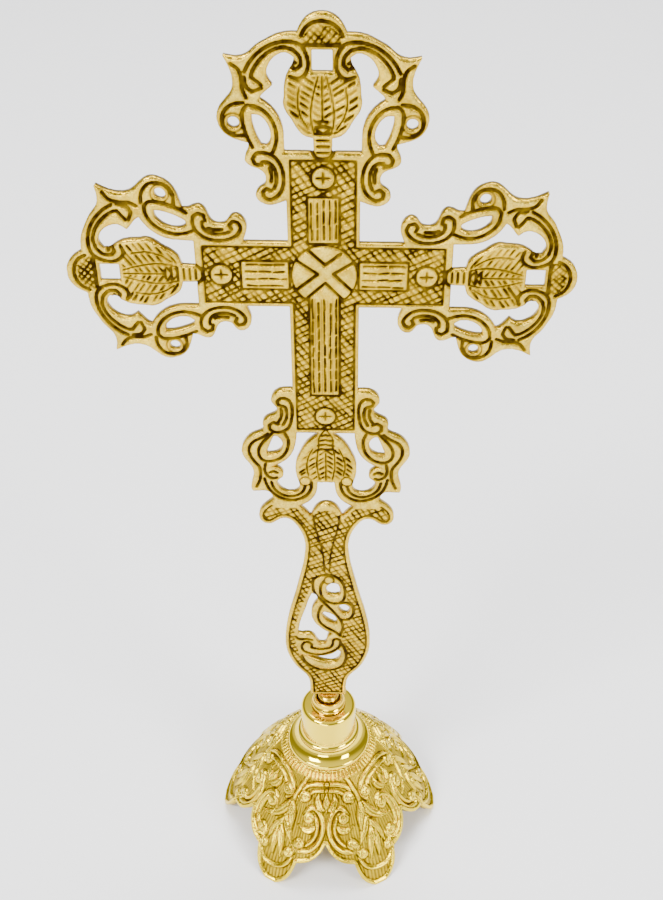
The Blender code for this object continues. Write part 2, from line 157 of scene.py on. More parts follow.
LOWER_VEINS = [
    [(1.9, -52.6), (2.4, -56.0), (2.5, -60.0), (1.8, -64.6)],
    [(3.6, -53.6), (4.9, -56.6), (5.4, -60.0), (4.9, -63.2)],
    [(0.0, -55.2), (0.0, -64.8)],
    [(0.0, -46.9), (1.3, -48.8), (2.0, -50.6), (1.9, -52.6)],
]
LOWER_RIDGES = [(-49.0, 0.9), (-50.7, 1.6), (-52.3, 2.3), (-53.9, 2.7)]  # (up, half length)

# The handle, which isn't symmetric: (across, up)
TONGUE = [(3.9, -77.8), (3.6, -81.0), (2.8, -85.0), (1.9, -89.0), (1.2, -93.0), (0.9, -97.0), (0.8, -100.2)]
TENDRIL_GROOVES = [
    [
        (-4.4, -105.7), (-4.2, -103.7), (-2.9, -102.3), (-0.6, -101.7), (1.9, -101.9), (3.8, -103.3),
        (5.1, -105.7), (5.5, -108.7), (5.2, -111.5), (4.2, -113.1), (2.4, -113.6), (0.4, -113.0),
        (-1.3, -111.3), (-2.1, -108.5), (-1.9, -105.9), (-0.9, -103.9),
    ],
    [
        (-4.4, -105.7), (-4.2, -108.1), (-3.0, -110.7), (-1.2, -113.1), (1.1, -116.0), (3.2, -119.1),
        (4.5, -121.9), (4.8, -124.7), (4.0, -127.3),
    ],
    [
        (-1.7, -114.5), (-2.5, -116.5), (-2.9, -118.9), (-2.6, -121.3), (-1.3, -123.3), (0.5, -124.8),
        (2.6, -126.3), (4.1, -128.0),
    ],
    [(4.2, -113.5), (6.1, -113.2), (7.6, -114.4), (8.2, -116.7), (7.6, -119.3), (6.0, -120.7), (4.5, -120.5)],
    [
        (-5.2, -133.5), (-5.1, -131.9), (-6.2, -130.9), (-7.6, -131.2), (-8.3, -132.7), (-7.9, -134.7),
        (-6.2, -136.0), (-3.6, -136.6), (-1.0, -136.3), (1.4, -135.2), (3.3, -133.5), (4.1, -131.5),
        (3.9, -129.8), (2.8, -129.2), (1.8, -129.9), (1.6, -131.7), (0.8, -133.3), (-1.1, -134.0),
        (-3.3, -134.0), (-5.2, -133.5),
    ],
    [(-10.2, -128.5), (-8.9, -129.7), (-6.6, -129.5), (-5.0, -130.0)],
    [
        (-8.4, -137.1), (-7.4, -139.9), (-5.5, -142.1), (-3.1, -143.5), (-0.6, -144.1), (1.9, -143.7),
        (4.2, -142.3), (5.5, -140.0), (5.9, -137.1), (5.5, -134.3), (4.5, -131.7),
    ],
]  # fmt: skip
TENDRIL_RINGS = [(0.6, -103.8, 1.5)]  # (across, up, radius)
TENDRIL_FIELD = [  # plain metal: no hatching inside this outline
    (-4.8, -105.5), (-4.4, -103.3), (-2.8, -101.8), (1.9, -101.4), (4.2, -103.0), (5.6, -105.7),
    (6.0, -110.1), (6.2, -112.9), (8.0, -114.1), (8.7, -116.7), (8.0, -119.7), (6.2, -121.3),
    (5.2, -122.7), (5.3, -125.5), (4.6, -128.7), (5.3, -132.1), (6.4, -136.9), (5.9, -140.5),
    (4.3, -142.9), (2.0, -144.2), (-0.7, -144.6), (-3.4, -143.9), (-5.9, -142.4), (-7.9, -140.0),
    (-9.0, -136.9), (-10.0, -132.7), (-10.6, -128.5), (-10.2, -124.1), (-9.1, -119.1),
    (-7.6, -113.7), (-5.9, -108.7),
]  # fmt: skip

CONTOUR_INSET = 1.25  # the handle's border groove runs this far inside its edge
EDGE_REACH = 2.5  # distances to the plate's edge are found up to this
HATCH_SPACING = 1.55
HATCH_ANGLES = (-52, 27)
HATCH_LINES = 400
HATCH_WANDER = 0.22
HATCH_MISPLACED = 0.16
HANDLE_HATCH = (1.6, (-58, 24))  # spacing, angles
CAP_HATCH = (1.2, (50, -40))
LEAF_HATCH = (1.4, 0.44, 0.42)  # spacing, depth, half width
LEAF_SLANT = 34
LOWER_LEAF_SLANT = -38
VEIN_MARGIN = 0.34  # plain metal on each side of a vein
EDGE_ROUND = 0.9  # the plate's edges are rounded over this width
EDGE_DROP = 0.5
CAST_SINK = 0.06  # keeps the uneven face under the CAD one

# ---- The dome -------------------------------------------------------------------------------

DOME_PROFILE = [  # (radius, height)
    (6.3, 34.5), (14.6, 34.5), (17.2, 32.6), (20.0, 29.5), (24.0, 24.4), (28.0, 19.0), (31.2, 14.4),
    (34.3, 9.4), (36.6, 4.7), (38.4, 0.0),
]  # fmt: skip
LOBE_GAP = [  # (across from the gap's middle, height)
    (0.0, 16.2), (1.3, 14.2), (3.1, 12.4), (5.2, 11.0), (7.8, 10.0), (10.0, 9.5), (10.5, 8.3),
    (11.3, 6.4), (12.6, 4.2), (14.2, 2.3), (15.9, 0.9), (17.4, 0.0),
]  # fmt: skip
DOME_WALL = 2.2
BASE_TURN = math.radians(-0.5)
LOBES = 6
PATTERN = 60.0  # the relief is mirrored at both ends of this many degrees
DOME_COLUMNS = 120  # in one stretch of the pattern
DOME_ROWS = 150
RELIEF = 0.85
CHANNEL = 1.15  # the cut line round each raised shape

# Relief in one stretch of the pattern: (degrees from the middle of the first gap, height)
DOME_BANDS = [  # (points, half width)
    ([(0, 32.1), (9.0, 32.0), (16.0, 31.6), (21.6, 30.8), (25.6, 29.4), (25.8, 27.9), (23.0, 26.8)], 0.76),
    ([(0, 30.5), (8.0, 30.3), (13.4, 29.9), (16.8, 29.1)], 0.62),
    (
        [(60, 32.1), (51.0, 32.0), (44.0, 31.4), (38.0, 30.4), (34.4, 28.8), (34.4, 27.3), (37.4, 26.0)],
        0.76,
    ),
    ([(60, 30.5), (52.0, 30.3), (46.6, 29.9), (43.4, 29.1)], 0.62),
    (
        [
            (16.8, 23.6), (15.2, 25.0), (12.0, 25.7), (8.0, 25.4), (4.6, 24.2), (2.5, 22.3),
            (2.2, 20.0), (3.8, 17.4), (7.0, 15.2), (11.0, 13.7), (15.4, 13.2), (19.2, 13.2),
            (20.9, 14.6),
        ],
        0.85,
    ),
    ([(11.2, 24.0), (8.2, 23.0), (6.4, 21.0), (6.8, 18.9), (9.2, 16.8), (12.6, 15.4), (15.0, 15.0)], 0.62),
    (
        [
            (44.6, 22.8), (46.2, 24.2), (49.6, 24.6), (53.4, 23.8), (56.6, 22.0), (57.9, 19.6),
            (57.2, 16.8), (54.6, 14.2), (50.8, 12.8), (46.6, 12.1), (43.2, 13.0), (42.0, 14.4),
        ],
        0.85,
    ),
    ([(51.4, 23.0), (53.8, 21.6), (54.6, 19.4), (53.6, 17.0), (51.2, 15.0), (48.6, 14.2)], 0.62),
    ([(20.6, 12.4), (21.6, 9.2), (25.4, 6.7), (30.6, 5.7), (36.0, 5.9), (40.2, 7.6), (42.2, 10.0)], 0.72),
    (
        [(21.5, 33.6), (24.2, 32.6), (27.4, 30.4), (29.8, 27.6), (30.6, 25.0), (31.6, 21.6), (32.8, 18.6)],
        0.72,
    ),
]  # fmt: skip
DOME_EYES = [  # (degrees, height, radius)
    (20.6, 28.1, 1.95), (39.6, 27.9, 1.95), (13.8, 22.8, 1.9), (17.6, 15.2, 1.9), (48.2, 22.2, 1.9),
    (45.8, 14.3, 1.9), (23.4, 11.6, 1.75), (40.4, 10.8, 1.75),
]  # fmt: skip
DOME_LEAVES = [  # (points from root to tip, half width at the widest)
    ([(31.0, 26.0), (33.6, 24.2), (37.8, 21.6), (44.0, 19.6), (51.4, 18.4)], 1.52),
    ([(32.6, 20.6), (35.6, 17.9), (38.0, 15.6), (39.2, 12.8)], 1.37),
    ([(33.0, 17.8), (34.2, 15.0), (34.0, 12.6), (33.0, 9.2)], 1.32),
    ([(32.8, 18.2), (31.0, 15.6), (29.2, 13.0), (27.8, 9.3)], 1.37),
    ([(31.6, 21.4), (28.8, 19.0), (25.8, 17.0), (23.0, 14.6)], 1.32),
    ([(30.4, 26.0), (28.6, 23.4), (26.6, 20.8), (25.6, 18.4)], 1.32),
    ([(0, 24.8), (0, 27.4), (0, 29.8)], 1.22),
    ([(1.6, 25.2), (6.2, 26.4), (8.4, 28.0), (7.6, 29.6)], 1.22),
    ([(60, 24.8), (60, 27.4), (60, 29.8)], 1.22),
    ([(58.4, 25.2), (53.8, 26.4), (51.6, 28.0), (52.4, 29.6)], 1.22),
    ([(8.4, 20.8), (11.2, 19.6), (15.2, 19.4), (20.4, 20.2)], 1.22),
]
RIM_BAND = 1.1
RIM_SOFT = 0.3
HUB_SINK = 0.02  # keeps the plain hub just under the CAD one
FLUTES = 72
FLUTE_BAND = (14.2, 17.0)  # radii of the ring of flutes round the hub
LINES_BEHIND = 30  # upright lines behind the scrolls, in one stretch
LINE_HEIGHT = 0.34
CHANNEL_WIDTH = 0.34
EYE_DIMPLE = (0.5, 0.7)  # radius, depth
LEAF_GROOVE = (0.3, 0.34)  # half width, depth

# ---- Colours --------------------------------------------------------------------------------

GOLD = (0.72, 0.46, 0.022)
GOLD_PALE = (1.0, 0.80, 0.14)
GOLD_DEEP = (0.38, 0.235, 0.006)
# the patina colour of the cross's grooves, also the painted shade at the plate's edges
PATINA_AND_EDGE_SHADE = (0.026, 0.012, 0.001)
DOME_GOLD = (0.88, 0.63, 0.01)
DOME_PALE = (1.0, 0.80, 0.04)
DOME_DEEP = (0.62, 0.42, 0.003)
DOME_SHADE = (0.08, 0.043, 0.001)
POLISHED = (1.0, 0.73, 0.02)
FERRULE_GOLD = (0.97, 0.62, 0.02)
ZINC = (0.46, 0.46, 0.44)


# ---- Curves ---------------------------------------------------------------------------------

def turn_at(before, here, after):
    first, second = np.subtract(here, before), np.subtract(after, here)
    angle = math.atan2(second[1], second[0]) - math.atan2(first[1], first[0])
    return abs((angle + math.pi) % (2 * math.pi) - math.pi)


def smooth_line(points, steps=CURVE_STEPS, closed=False):
    """A smooth line through the points, with a corner where they turn sharply."""
    points = [np.array(p, float) for p in points]
    count = len(points)
    tangents = []
    for i in range(count):
        before = points[i - 1] if closed or i else points[i]
        after = points[(i + 1) % count] if closed or i < count - 1 else points[i]
        at_end = not closed and i in (0, count - 1)
        if at_end or turn_at(before, points[i], after) > SHARP_TURN:
            tangents.append(None)
        else:
            tangents.append((after - before) / 2)
    line = []
    for i in range(count if closed else count - 1):
        a, b = points[i], points[(i + 1) % count]
        reach = np.linalg.norm(b - a)
        slopes = [tangents[i], tangents[(i + 1) % count]]
        slopes = [b - a if s is None else s / max(np.linalg.norm(s), 1e-9) * reach for s in slopes]
        t = np.arange(steps)[:, None] / steps
        line.append(
            (2 * t**3 - 3 * t**2 + 1) * a + (t**3 - 2 * t**2 + t) * slopes[0]
            + (3 * t**2 - 2 * t**3) * b + (t**3 - t**2) * slopes[1]
        )
    if not closed:
        line.append(points[-1][None])
    return np.concatenate(line)


def circle(centre, radius, count=28):
    angles = np.linspace(0, 2 * math.pi, count + 1)
    return np.stack([centre[0] + radius * np.cos(angles), centre[1] + radius * np.sin(angles)], 1)


def mirrored(points):
    return [(-a, b) for a, b in points]


def quarter_turned(points, quarters):
    for _ in range(quarters):
        points = [(b, -a) for a, b in points]
    return points


def front_loops(node):
    """The outline and holes of a flat node's front face, as loops of (across, up) in millimetres."""
    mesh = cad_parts[node].data
    spots, place = {}, []
    for vertex in mesh.vertices:
        key = tuple(round(c / MM * WELD_STEPS) for c in vertex.co)
        place.append(spots.setdefault(key, len(spots)))
    corners = {index: key for key, index in spots.items()}
    follows = {}
    for face in mesh.polygons:
        if face.normal.y > -0.9:
            continue
        ring = [place[v] for v in face.vertices]
        for a, b in zip(ring, ring[1:] + ring[:1]):
            if b in follows and a in follows[b]:
                follows[b].remove(a)
            else:
                follows.setdefault(a, []).append(b)
    follows = {a: b for a, b in follows.items() if b}
    loops = []
    while follows:
        start = here = next(iter(follows))
        loop = []
        while here in follows:
            loop.append(here)
            ahead = follows[here].pop()
            if not follows[here]:
                del follows[here]
            here = ahead
            if here == start:
                break
        loops.append(
            [(corners[i][0] / WELD_STEPS, corners[i][2] / WELD_STEPS - CROSS_CENTRE) for i in loop]
        )
    return loops


# ---- The engraved plate ---------------------------------------------------------------------

class Face:
    """One face of the plate on a square grid: how far inside the edge each point is, and how deep cut."""

    def __init__(self, loops):
        every = np.concatenate([np.array(loop) for loop in loops])
        low, high = every.min(0) - 2 * PLATE_STEP, every.max(0) + 2 * PLATE_STEP
        self.across = np.arange(low[0], high[0], PLATE_STEP)
        self.up = np.arange(low[1], high[1], PLATE_STEP)
        self.x, self.z = np.meshgrid(self.across, self.up)
        self.cut = np.zeros(self.x.shape)
        self.raised = np.zeros(self.x.shape)
        lines = [smooth_line(loop, closed=True) for loop in loops]
        lines = [np.concatenate([line, line[:1]]) for line in lines]
        self.outer_distance = self.distance(lines[0], EDGE_REACH)
        nearest = self.outer_distance.copy()
        for line in lines[1:]:
            nearest = np.minimum(nearest, self.distance(line, EDGE_REACH))
        self.inside = nearest * np.where(self.within(lines), 1, -1)

    def within(self, lines):
        """Which grid points are inside the outline and outside its holes."""
        a = np.concatenate([line[:-1] for line in lines])
        b = np.concatenate([line[1:] for line in lines])
        result = np.zeros(self.x.shape, bool)
        for row, height in enumerate(self.up):
            crosses = (a[:, 1] > height) != (b[:, 1] > height)
            p, q = a[crosses], b[crosses]
            at = p[:, 0] + (height - p[:, 1]) / (q[:, 1] - p[:, 1]) * (q[:, 0] - p[:, 0])
            result[row] = np.searchsorted(np.sort(at), self.across) % 2 == 1
        return result

    def distance(self, line, reach):
        """Distance from each grid point to a line, up to reach."""
        found = np.full(self.x.shape, reach)
        for a, b in zip(line[:-1], line[1:]):
            low, high = np.minimum(a, b) - reach, np.maximum(a, b) + reach
            columns = slice(*np.searchsorted(self.across, (low[0], high[0])))
            rows = slice(*np.searchsorted(self.up, (low[1], high[1])))
            x, z = self.x[rows, columns] - a[0], self.z[rows, columns] - a[1]
            run = b - a
            along = np.clip((x * run[0] + z * run[1]) / max(run @ run, 1e-12), 0, 1)
            apart = np.hypot(x - along * run[0], z - along * run[1])
            found[rows, columns] = np.minimum(found[rows, columns], apart)
        return found

    def groove(self, points, width=0.5, depth=0.46, smoothed=True):
        """Cuts a round-bottomed groove of half that width along a line."""
        line = smooth_line(points) if smoothed else np.array(points, float)
        apart = self.distance(line, width)
        self.cut = np.maximum(self.cut, depth * (1 - (apart / width) ** 2))

    def inside_polygon(self, points):
        line = np.array(list(points) + [points[0]], float)
        return self.within([line])


def both_sides(points):
    return [points, mirrored(points)]


def blurred(values, size):
    """The values smoothed over about that many millimetres."""
    spread = math.pi * size / PLATE_STEP
    rows, columns = (np.fft.fftfreq(count) for count in values.shape)
    fall = np.exp(-2 * spread**2 * (rows[:, None] ** 2 + columns[None, :] ** 2))
    return np.fft.ifft2(np.fft.fft2(values) * fall).real


def noise_table(seed):
    """One number from -1 to 1 for each hatch line."""
    return np.random.RandomState(seed).uniform(-1, 1, HATCH_LINES)


def soft_noise(x, z, size, seed):
    """Smooth noise from -1 to 1, with lumps about that size."""
    rng = np.random.RandomState(seed)
    table = rng.uniform(-1, 1, (97, 97))
    u, v = (x / size) % 96, (z / size) % 96
    i, j = np.floor(u).astype(int), np.floor(v).astype(int)
    s, t = u - i, v - j
    s, t = s * s * (3 - 2 * s), t * t * (3 - 2 * t)
    low = table[j, i] * (1 - s) + table[j, i + 1] * s
    high = table[j + 1, i] * (1 - s) + table[j + 1, i + 1] * s
    return low * (1 - t) + high * t


def hatch(face, field, angle, spacing, depth=0.36, width=0.36, seed=1):
    """Hand-cut parallel lines over a field: each a little off its place, and uneven in depth."""
    turn = math.radians(angle)
    away = face.z * math.cos(turn) - face.x * math.sin(turn)
    away = away + HATCH_WANDER * soft_noise(face.x, face.z, 7.0, seed + 5)
    shift = noise_table(seed) * HATCH_MISPLACED
    strength = 0.82 + 0.18 * noise_table(seed + 1)
    index = np.floor(away / spacing).astype(int) % HATCH_LINES
    offset = away / spacing - np.floor(away / spacing) - 0.5 - shift[index]
    apart = np.abs(offset) * spacing
    uneven = np.clip(0.85 + 0.45 * soft_noise(face.x, face.z, 2.3, seed + 9), 0.25, 1.1)
    line = depth * strength[index] * uneven * np.clip(1 - (apart / width) ** 2, 0, 1)
    face.cut = np.where(field, np.maximum(face.cut, line), face.cut)


def dashes(face, panel):
    """Rows of short cuts that fill a panel, inside its own border, with fine lines between them."""
    low_x, low_z, high_x, high_z, upright = panel
    rng = np.random.RandomState(int(abs(low_z) * 10 + abs(low_x)))
    start, end = (low_z, high_z) if upright else (low_x, high_x)
    rows = 5 if upright else 4
    length = 3.1 if upright else 2.8
    half = 3.0 if upright else 2.9
    for row in np.linspace(-half, half, rows):
        at = start + 0.9 + rng.uniform(0, 0.6)
        while at < end - 1.6:
            reach = min(length * rng.uniform(0.8, 1.15), end - 0.8 - at)
            wander = rng.uniform(-0.12, 0.12, 2)
            ends = [(row + wander[0], at), (row + wander[1], at + reach)]
            ends = ends if upright else [(b, a) for a, b in ends]
            face.groove(ends, 0.34, 0.36, smoothed=False)
            at += reach + rng.uniform(0.45, 0.8)
        if upright and row < half:
            between = row + half / (rows - 1)
            face.groove([(between, start + 0.7), (between, end - 0.7)], 0.2, 0.16, smoothed=False)


def engrave_arms(face):
    """The hatched field of the plain arms, with its disc, panels and medallions."""
    e, end, foot = FIELD_EDGE, ARM_FIELD_END, LOWER_FIELD_END
    border = [
        (e, e), (end, e), (end, -e), (e, -e), (e, foot), (-e, foot), (-e, -e), (-end, -e),
        (-end, e), (-e, e), (-e, end), (e, end), (e, e),
    ]  # fmt: skip
    field = face.inside_polygon(border[:-1])
    plain = face.x**2 + face.z**2 < DISC_RADIUS**2
    for low_x, low_z, high_x, high_z, _ in PANELS:
        plain |= (face.x > low_x) & (face.x < high_x) & (face.z > low_z) & (face.z < high_z)
    plain |= face.inside_polygon([(0.3, -1.9), (-3.9, -5.8), (3.9, -5.8)])
    for across, up in MEDALLIONS:
        plain |= (face.x - across) ** 2 + (face.z - up) ** 2 < MEDALLION_RADIUS**2
    for number, angle in enumerate(HATCH_ANGLES):
        hatch(face, field & ~plain, angle, HATCH_SPACING, seed=11 + 20 * number)
    face.groove(border, 0.34, 0.34, smoothed=False)
    for panel in PANELS:
        low_x, low_z, high_x, high_z, upright = panel
        top = [(high_x, high_z), (low_x, high_z)]
        if high_z < 0 and upright:
            top = [(high_x, high_z), (0.3, -1.9), (low_x, high_z)]
        rim = [(low_x, low_z), (high_x, low_z)] + top + [(low_x, low_z)]
        face.groove(rim, 0.36, 0.36, smoothed=False)
        dashes(face, panel)
    ring = circle((0.1, 0.1), DISC_RADIUS, 60)
    ring = ring[(np.abs(ring[:, 0]) > 3.6) | (ring[:, 1] > 0)]
    for a, b in zip(ring[:-1], ring[1:]):
        if np.hypot(*(b - a)) < 2:
            face.groove([a, b], 0.32, 0.3, smoothed=False)
    for point, first, second in SALTIRE:
        face.groove([first, point, second], 0.44, 0.46, smoothed=False)
        sector = face.inside_polygon([point, first, second])
        face.raised -= 0.1 * sector
    for across, up in MEDALLIONS:
        face.groove(circle((across, up), MEDALLION_RADIUS), 0.36, 0.38, smoothed=False)
        face.groove([(across - 1.6, up), (across + 1.6, up)], 0.34, 0.36, smoothed=False)
        face.groove([(across, up - 1.2), (across, up + 1.4)], 0.3, 0.32, smoothed=False)


def draw_leaf(face, turned, field, veins, angle, seed):
    """A leaf: slanting cuts, then veins with a plain strip beside them."""
    spacing, depth, width = LEAF_HATCH
    outline = field + [(-a, b) for a, b in reversed(field) if a > 0]
    inside = face.inside_polygon(turned(outline))
    before = face.cut.copy()
    across = turned([(1, 0)])[0]
    side = face.x * across[0] + face.z * across[1]
    base = math.degrees(math.atan2(across[1], across[0]))
    for sign in (1, -1):
        half = inside & (side * sign > 0)
        hatch(face, half, base + angle * sign, spacing, depth, width, seed=seed + sign)
    strips = np.full(face.x.shape, 9.0)
    lines = [smooth_line(turned(v)) for vein in veins for v in both_sides(vein)]
    for line in lines:
        strips = np.minimum(strips, face.distance(line, 0.8))
    keep = np.clip((strips - VEIN_MARGIN) / 0.3, 0, 1)
    face.cut = np.where(inside, before + (face.cut - before) * keep, face.cut)
    for line in lines:
        face.groove(line, 0.3, 0.3, smoothed=False)


def engrave_end(face, quarters):
    """The grooves of one arm's ornament, stretched as the casting is."""
    clockwise, other, length = STRETCH[quarters]

    def turned(points):
        placed = []
        for a, b in points:
            beyond = max(b - STRETCH_START, 0)
            share = min(beyond / STRETCH_RAMP, 1)
            grown = (clockwise if a > 0 else other) - 1
            placed.append((a * (1 + grown * share), b + beyond * (length - 1)))
        return quarter_turned(placed, quarters)

    for line in END_SCROLL + END_GROOVES:
        for points in both_sides(line):
            face.groove(turned(points))
    for across, out, radius in END_RINGS:
        for side in (1, -1):
            centre = turned([(side * across, out)])[0]
            face.groove(circle(centre, radius), 0.3, 0.25, smoothed=False)
    cap = CAP_FIELD + [(-a, b) for a, b in reversed(CAP_FIELD) if a > 0]
    spacing, angles = CAP_HATCH
    for number, angle in enumerate(angles):
        hatch(face, face.inside_polygon(turned(cap)), angle, spacing, seed=31 + 4 * number + quarters)
    draw_leaf(face, turned, LEAF_FIELD, LEAF_VEINS, LEAF_SLANT, 41 + quarters)
    for out, reach in STEM_RIDGES:
        face.groove(turned([(-reach, out), (reach, out)]), 0.36, 0.42, smoothed=False)


def engrave_lower(face):
    """The scrollwork and leaf between the lower arm and the handle."""
    for line in LOWER_GROOVES:
        for points in both_sides(line):
            face.groove(points)
    for across, up, radius in LOWER_RINGS:
        for side in (1, -1):
            face.groove(circle((side * across, up), radius), 0.3, 0.28, smoothed=False)
    draw_leaf(face, lambda points: points, LOWER_LEAF_FIELD, LOWER_VEINS, LOWER_LEAF_SLANT, 61)
    for up, reach in LOWER_RIDGES:
        arch = [(-reach, up - 0.25), (0, up + 0.1), (reach, up - 0.25)]
        face.groove(arch, 0.36, 0.42)


def engrave_handle(face):
    """The handle's hatching, border, tongue and tendril."""
    handle = (face.z < -75.0) & (face.outer_distance > CONTOUR_INSET) & (face.inside > 0.9)
    tongue_tip = (np.abs(face.x) < 3.4) & (face.z > -76.2)
    plain = face.inside_polygon(TENDRIL_FIELD) | tongue_tip
    spacing, angles = HANDLE_HATCH
    for number, angle in enumerate(angles):
        hatch(face, handle & ~plain, angle, spacing, seed=71 + number)
    contour = np.abs(face.outer_distance - CONTOUR_INSET) / 0.34
    line = 0.36 * np.clip(1 - contour**2, 0, 1)
    face.cut = np.where(face.z < -74.2, np.maximum(face.cut, line), face.cut)
    for points in both_sides(TONGUE):
        face.groove(points, 0.34, 0.34)
    for line in TENDRIL_GROOVES:
        face.groove(line)
    for across, up, radius in TENDRIL_RINGS:
        face.groove(circle((across, up), radius), 0.34, 0.3, smoothed=False)


def pillow(face):
    """Rounds the edges, and lets the metal between the grooves swell a little."""
    near = np.clip(face.inside, 0, EDGE_ROUND)
    edge = EDGE_DROP * (1 - near / EDGE_ROUND) ** 2
    cast = 0.035 * soft_noise(face.x, face.z, 3.1, 3) + 0.02 * soft_noise(face.x, face.z, 1.1, 4)
    swell = 1.3 * blurred(face.cut, 0.75)
    return PLATE_THICKNESS / 2 - edge - CAST_SINK + cast + face.raised - swell


def patina_and_painted_edge_shade(face):
    """How dark each point is: the grooves and a little to either side of them, as patina, and the very edges,
    partly patina and partly painted shade.
    """
    # the very edges are darkened in colour: partly patina, partly painted shade of the rounded edge
    edge_patina_and_shade = 0.3 * np.clip(1 - face.inside / 0.5, 0, 1)
    return np.clip((0.62 * face.cut + 0.8 * blurred(face.cut, 0.3)) / 0.42 + edge_patina_and_shade, 0, 1)


RING = (0, 4, 1, 5, 2, 6, 3, 7)  # a grid cell's corners (0-3) and edges (4-7), going round


def plate_mesh(name, face):
    """A closed mesh of both faces and the walls between them, cut at the outline."""
    s = face.inside
    least = 0.14 * PLATE_STEP
    s = np.where(np.abs(s) < least, np.where(s < 0, -least, least), s)
    solid = s > 0
    height = pillow(face) - face.cut
    dark = patina_and_painted_edge_shade(face)
    rows, columns = s.shape

    def crossing(a, b):
        """Where the edge from grid points a to grid points b leaves the plate."""
        t = s[a] / (s[a] - s[b])
        mix = [q[a] * (1 - t) + q[b] * t for q in (face.x, face.z, height, dark)]
        return np.stack(mix, 1)

    left, right = (slice(None), slice(None, -1)), (slice(None), slice(1, None))
    below, above = (slice(None, -1), slice(None)), (slice(1, None), slice(None))
    grid_id = np.full(s.shape, -1)
    grid_id[solid] = np.arange(solid.sum())
    points = [np.stack([q[solid] for q in (face.x, face.z, height, dark)], 1)]
    count = int(solid.sum())
    edge_id = []
    for first, second, step in ((left, right, (0, 1)), (below, above, (1, 0))):
        crossed = solid[first] != solid[second]
        ids = np.full(crossed.shape, -1)
        ids[crossed] = count + np.arange(crossed.sum())
        a = np.nonzero(crossed)
        b = (a[0] + step[0], a[1] + step[1])
        points.append(crossing(a, b))
        count += int(crossed.sum())
        edge_id.append(ids)
    along_x, along_z = edge_id
    entries = np.stack(
        [
            grid_id[:-1, :-1], grid_id[:-1, 1:], grid_id[1:, 1:], grid_id[1:, :-1],
            along_x[:-1, :], along_z[:, 1:], along_x[1:, :], along_z[:, :-1],
        ],
        -1,
    ).reshape(-1, 8)[:, list(RING)]  # fmt: skip
    entries = entries[(entries >= 0).any(1)]
    sizes = (entries >= 0).sum(1)
    front = entries[entries >= 0]
    starts = np.concatenate([[0], np.cumsum(sizes)])
    # walls: two crossed edges with no corner of the plate between them
    walls = []
    clipped = entries[(entries[:, 1::2] >= 0).any(1)]
    for k in (1, 3, 5, 7):
        for gap in (2, 4, 6):
            others = [(k + g) % 8 for g in range(1, gap)]
            clear = (clipped[:, k] >= 0) & (clipped[:, (k + gap) % 8] >= 0)
            clear &= (clipped[:, others] < 0).all(1)
            walls.append(clipped[clear][:, [k, (k + gap) % 8]])
    walls = np.concatenate(walls)
    flat = np.concatenate(points)
    total = len(flat)
    spot = np.stack([flat[:, 0], -flat[:, 2], flat[:, 1] + CROSS_CENTRE], 1)
    behind = spot * (1, -1, 1)
    order = np.arange(len(front))
    size_of = np.repeat(sizes, sizes)
    start_of = np.repeat(starts[:-1], sizes)
    back = front[start_of + (size_of - 1 - (order - start_of))] + total
    a, b = walls[:, 0], walls[:, 1]
    wall = np.stack([b, a, a + total, b + total], 1).ravel()
    corner_list = np.concatenate([front, back, wall])
    all_sizes = np.concatenate([sizes, sizes, np.full(len(walls), 4)])
    mesh = mesh_from_arrays(name, np.concatenate([spot, behind]) * MM, corner_list, all_sizes)
    depth = np.concatenate([flat[:, 3], flat[:, 3]])
    add_attribute(mesh, "groove", depth)
    atlas = np.concatenate([spot[:, [0, 2]], behind[:, [0, 2]]])
    low, high = atlas.min(0), atlas.max(0)
    scale = 0.98 / max(high[1] - low[1], 2 * (high[0] - low[0]))
    atlas = (atlas - low) * scale + 0.005
    atlas[total:, 0] += 0.5
    add_bake_layer(mesh, atlas, corner_list)
    return mesh


def mesh_from_arrays(name, spots, corner_list, sizes):
    mesh = bpy.data.meshes.new(name)
    mesh.vertices.add(len(spots))
    mesh.vertices.foreach_set("co", np.asarray(spots, np.float32).ravel())
    mesh.loops.add(len(corner_list))
    mesh.loops.foreach_set("vertex_index", np.asarray(corner_list, np.int32))
    mesh.polygons.add(len(sizes))
    starts = np.concatenate([[0], np.cumsum(sizes)[:-1]])
    mesh.polygons.foreach_set("loop_start", starts.astype(np.int32))
    mesh.update(calc_edges=True)
    mesh.validate()
    mesh.shade_smooth()
    return mesh


def add_attribute(mesh, name, values):
    layer = mesh.attributes.new(name, "FLOAT", "POINT")
    layer.data.foreach_set("value", np.asarray(values, np.float32))


def add_bake_layer(mesh, atlas, corner_list):
    """A ready UV layer for baking, so that a bake needn't unwrap a mesh this fine."""
    layer = mesh.uv_layers.new(name="OFBake")
    layer.data.foreach_set("uv", np.asarray(atlas[corner_list], np.float32).ravel())


def add_piece(name, mesh, body, slot, *nodes):
    piece = bpy.data.objects.new(name, mesh)
    bpy.context.scene.collection.objects.link(piece)
    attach(piece, body)
    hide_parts(*nodes)
    return piece


def make_cross():
    loops = front_loops("cross")
    loops.sort(key=len, reverse=True)
    face = Face(loops)
    engrave_arms(face)
    for quarters in (0, 1, 3):
        engrave_end(face, quarters)
    engrave_lower(face)
    engrave_handle(face)
    mesh = plate_mesh("engraved_cross", face)
    mesh.materials.append(antique_brass())
    return add_piece("engraved_cross", mesh, "cross", "antique_brass", "cross")


# ---- The dome -------------------------------------------------------------------------------

def profile_points():
    """The outer profile, finely: radius and height against distance run down from the hub hole."""
    line = smooth_profile(DOME_PROFILE)
    run = np.concatenate([[0], np.cumsum(np.hypot(*np.diff(line, axis=0).T))])
    return line, run


def smooth_profile(points):
    flat = np.array(points[:2], float)
    curve = smooth_line(points[1:], steps=12)
    return np.concatenate([flat[:1], curve])


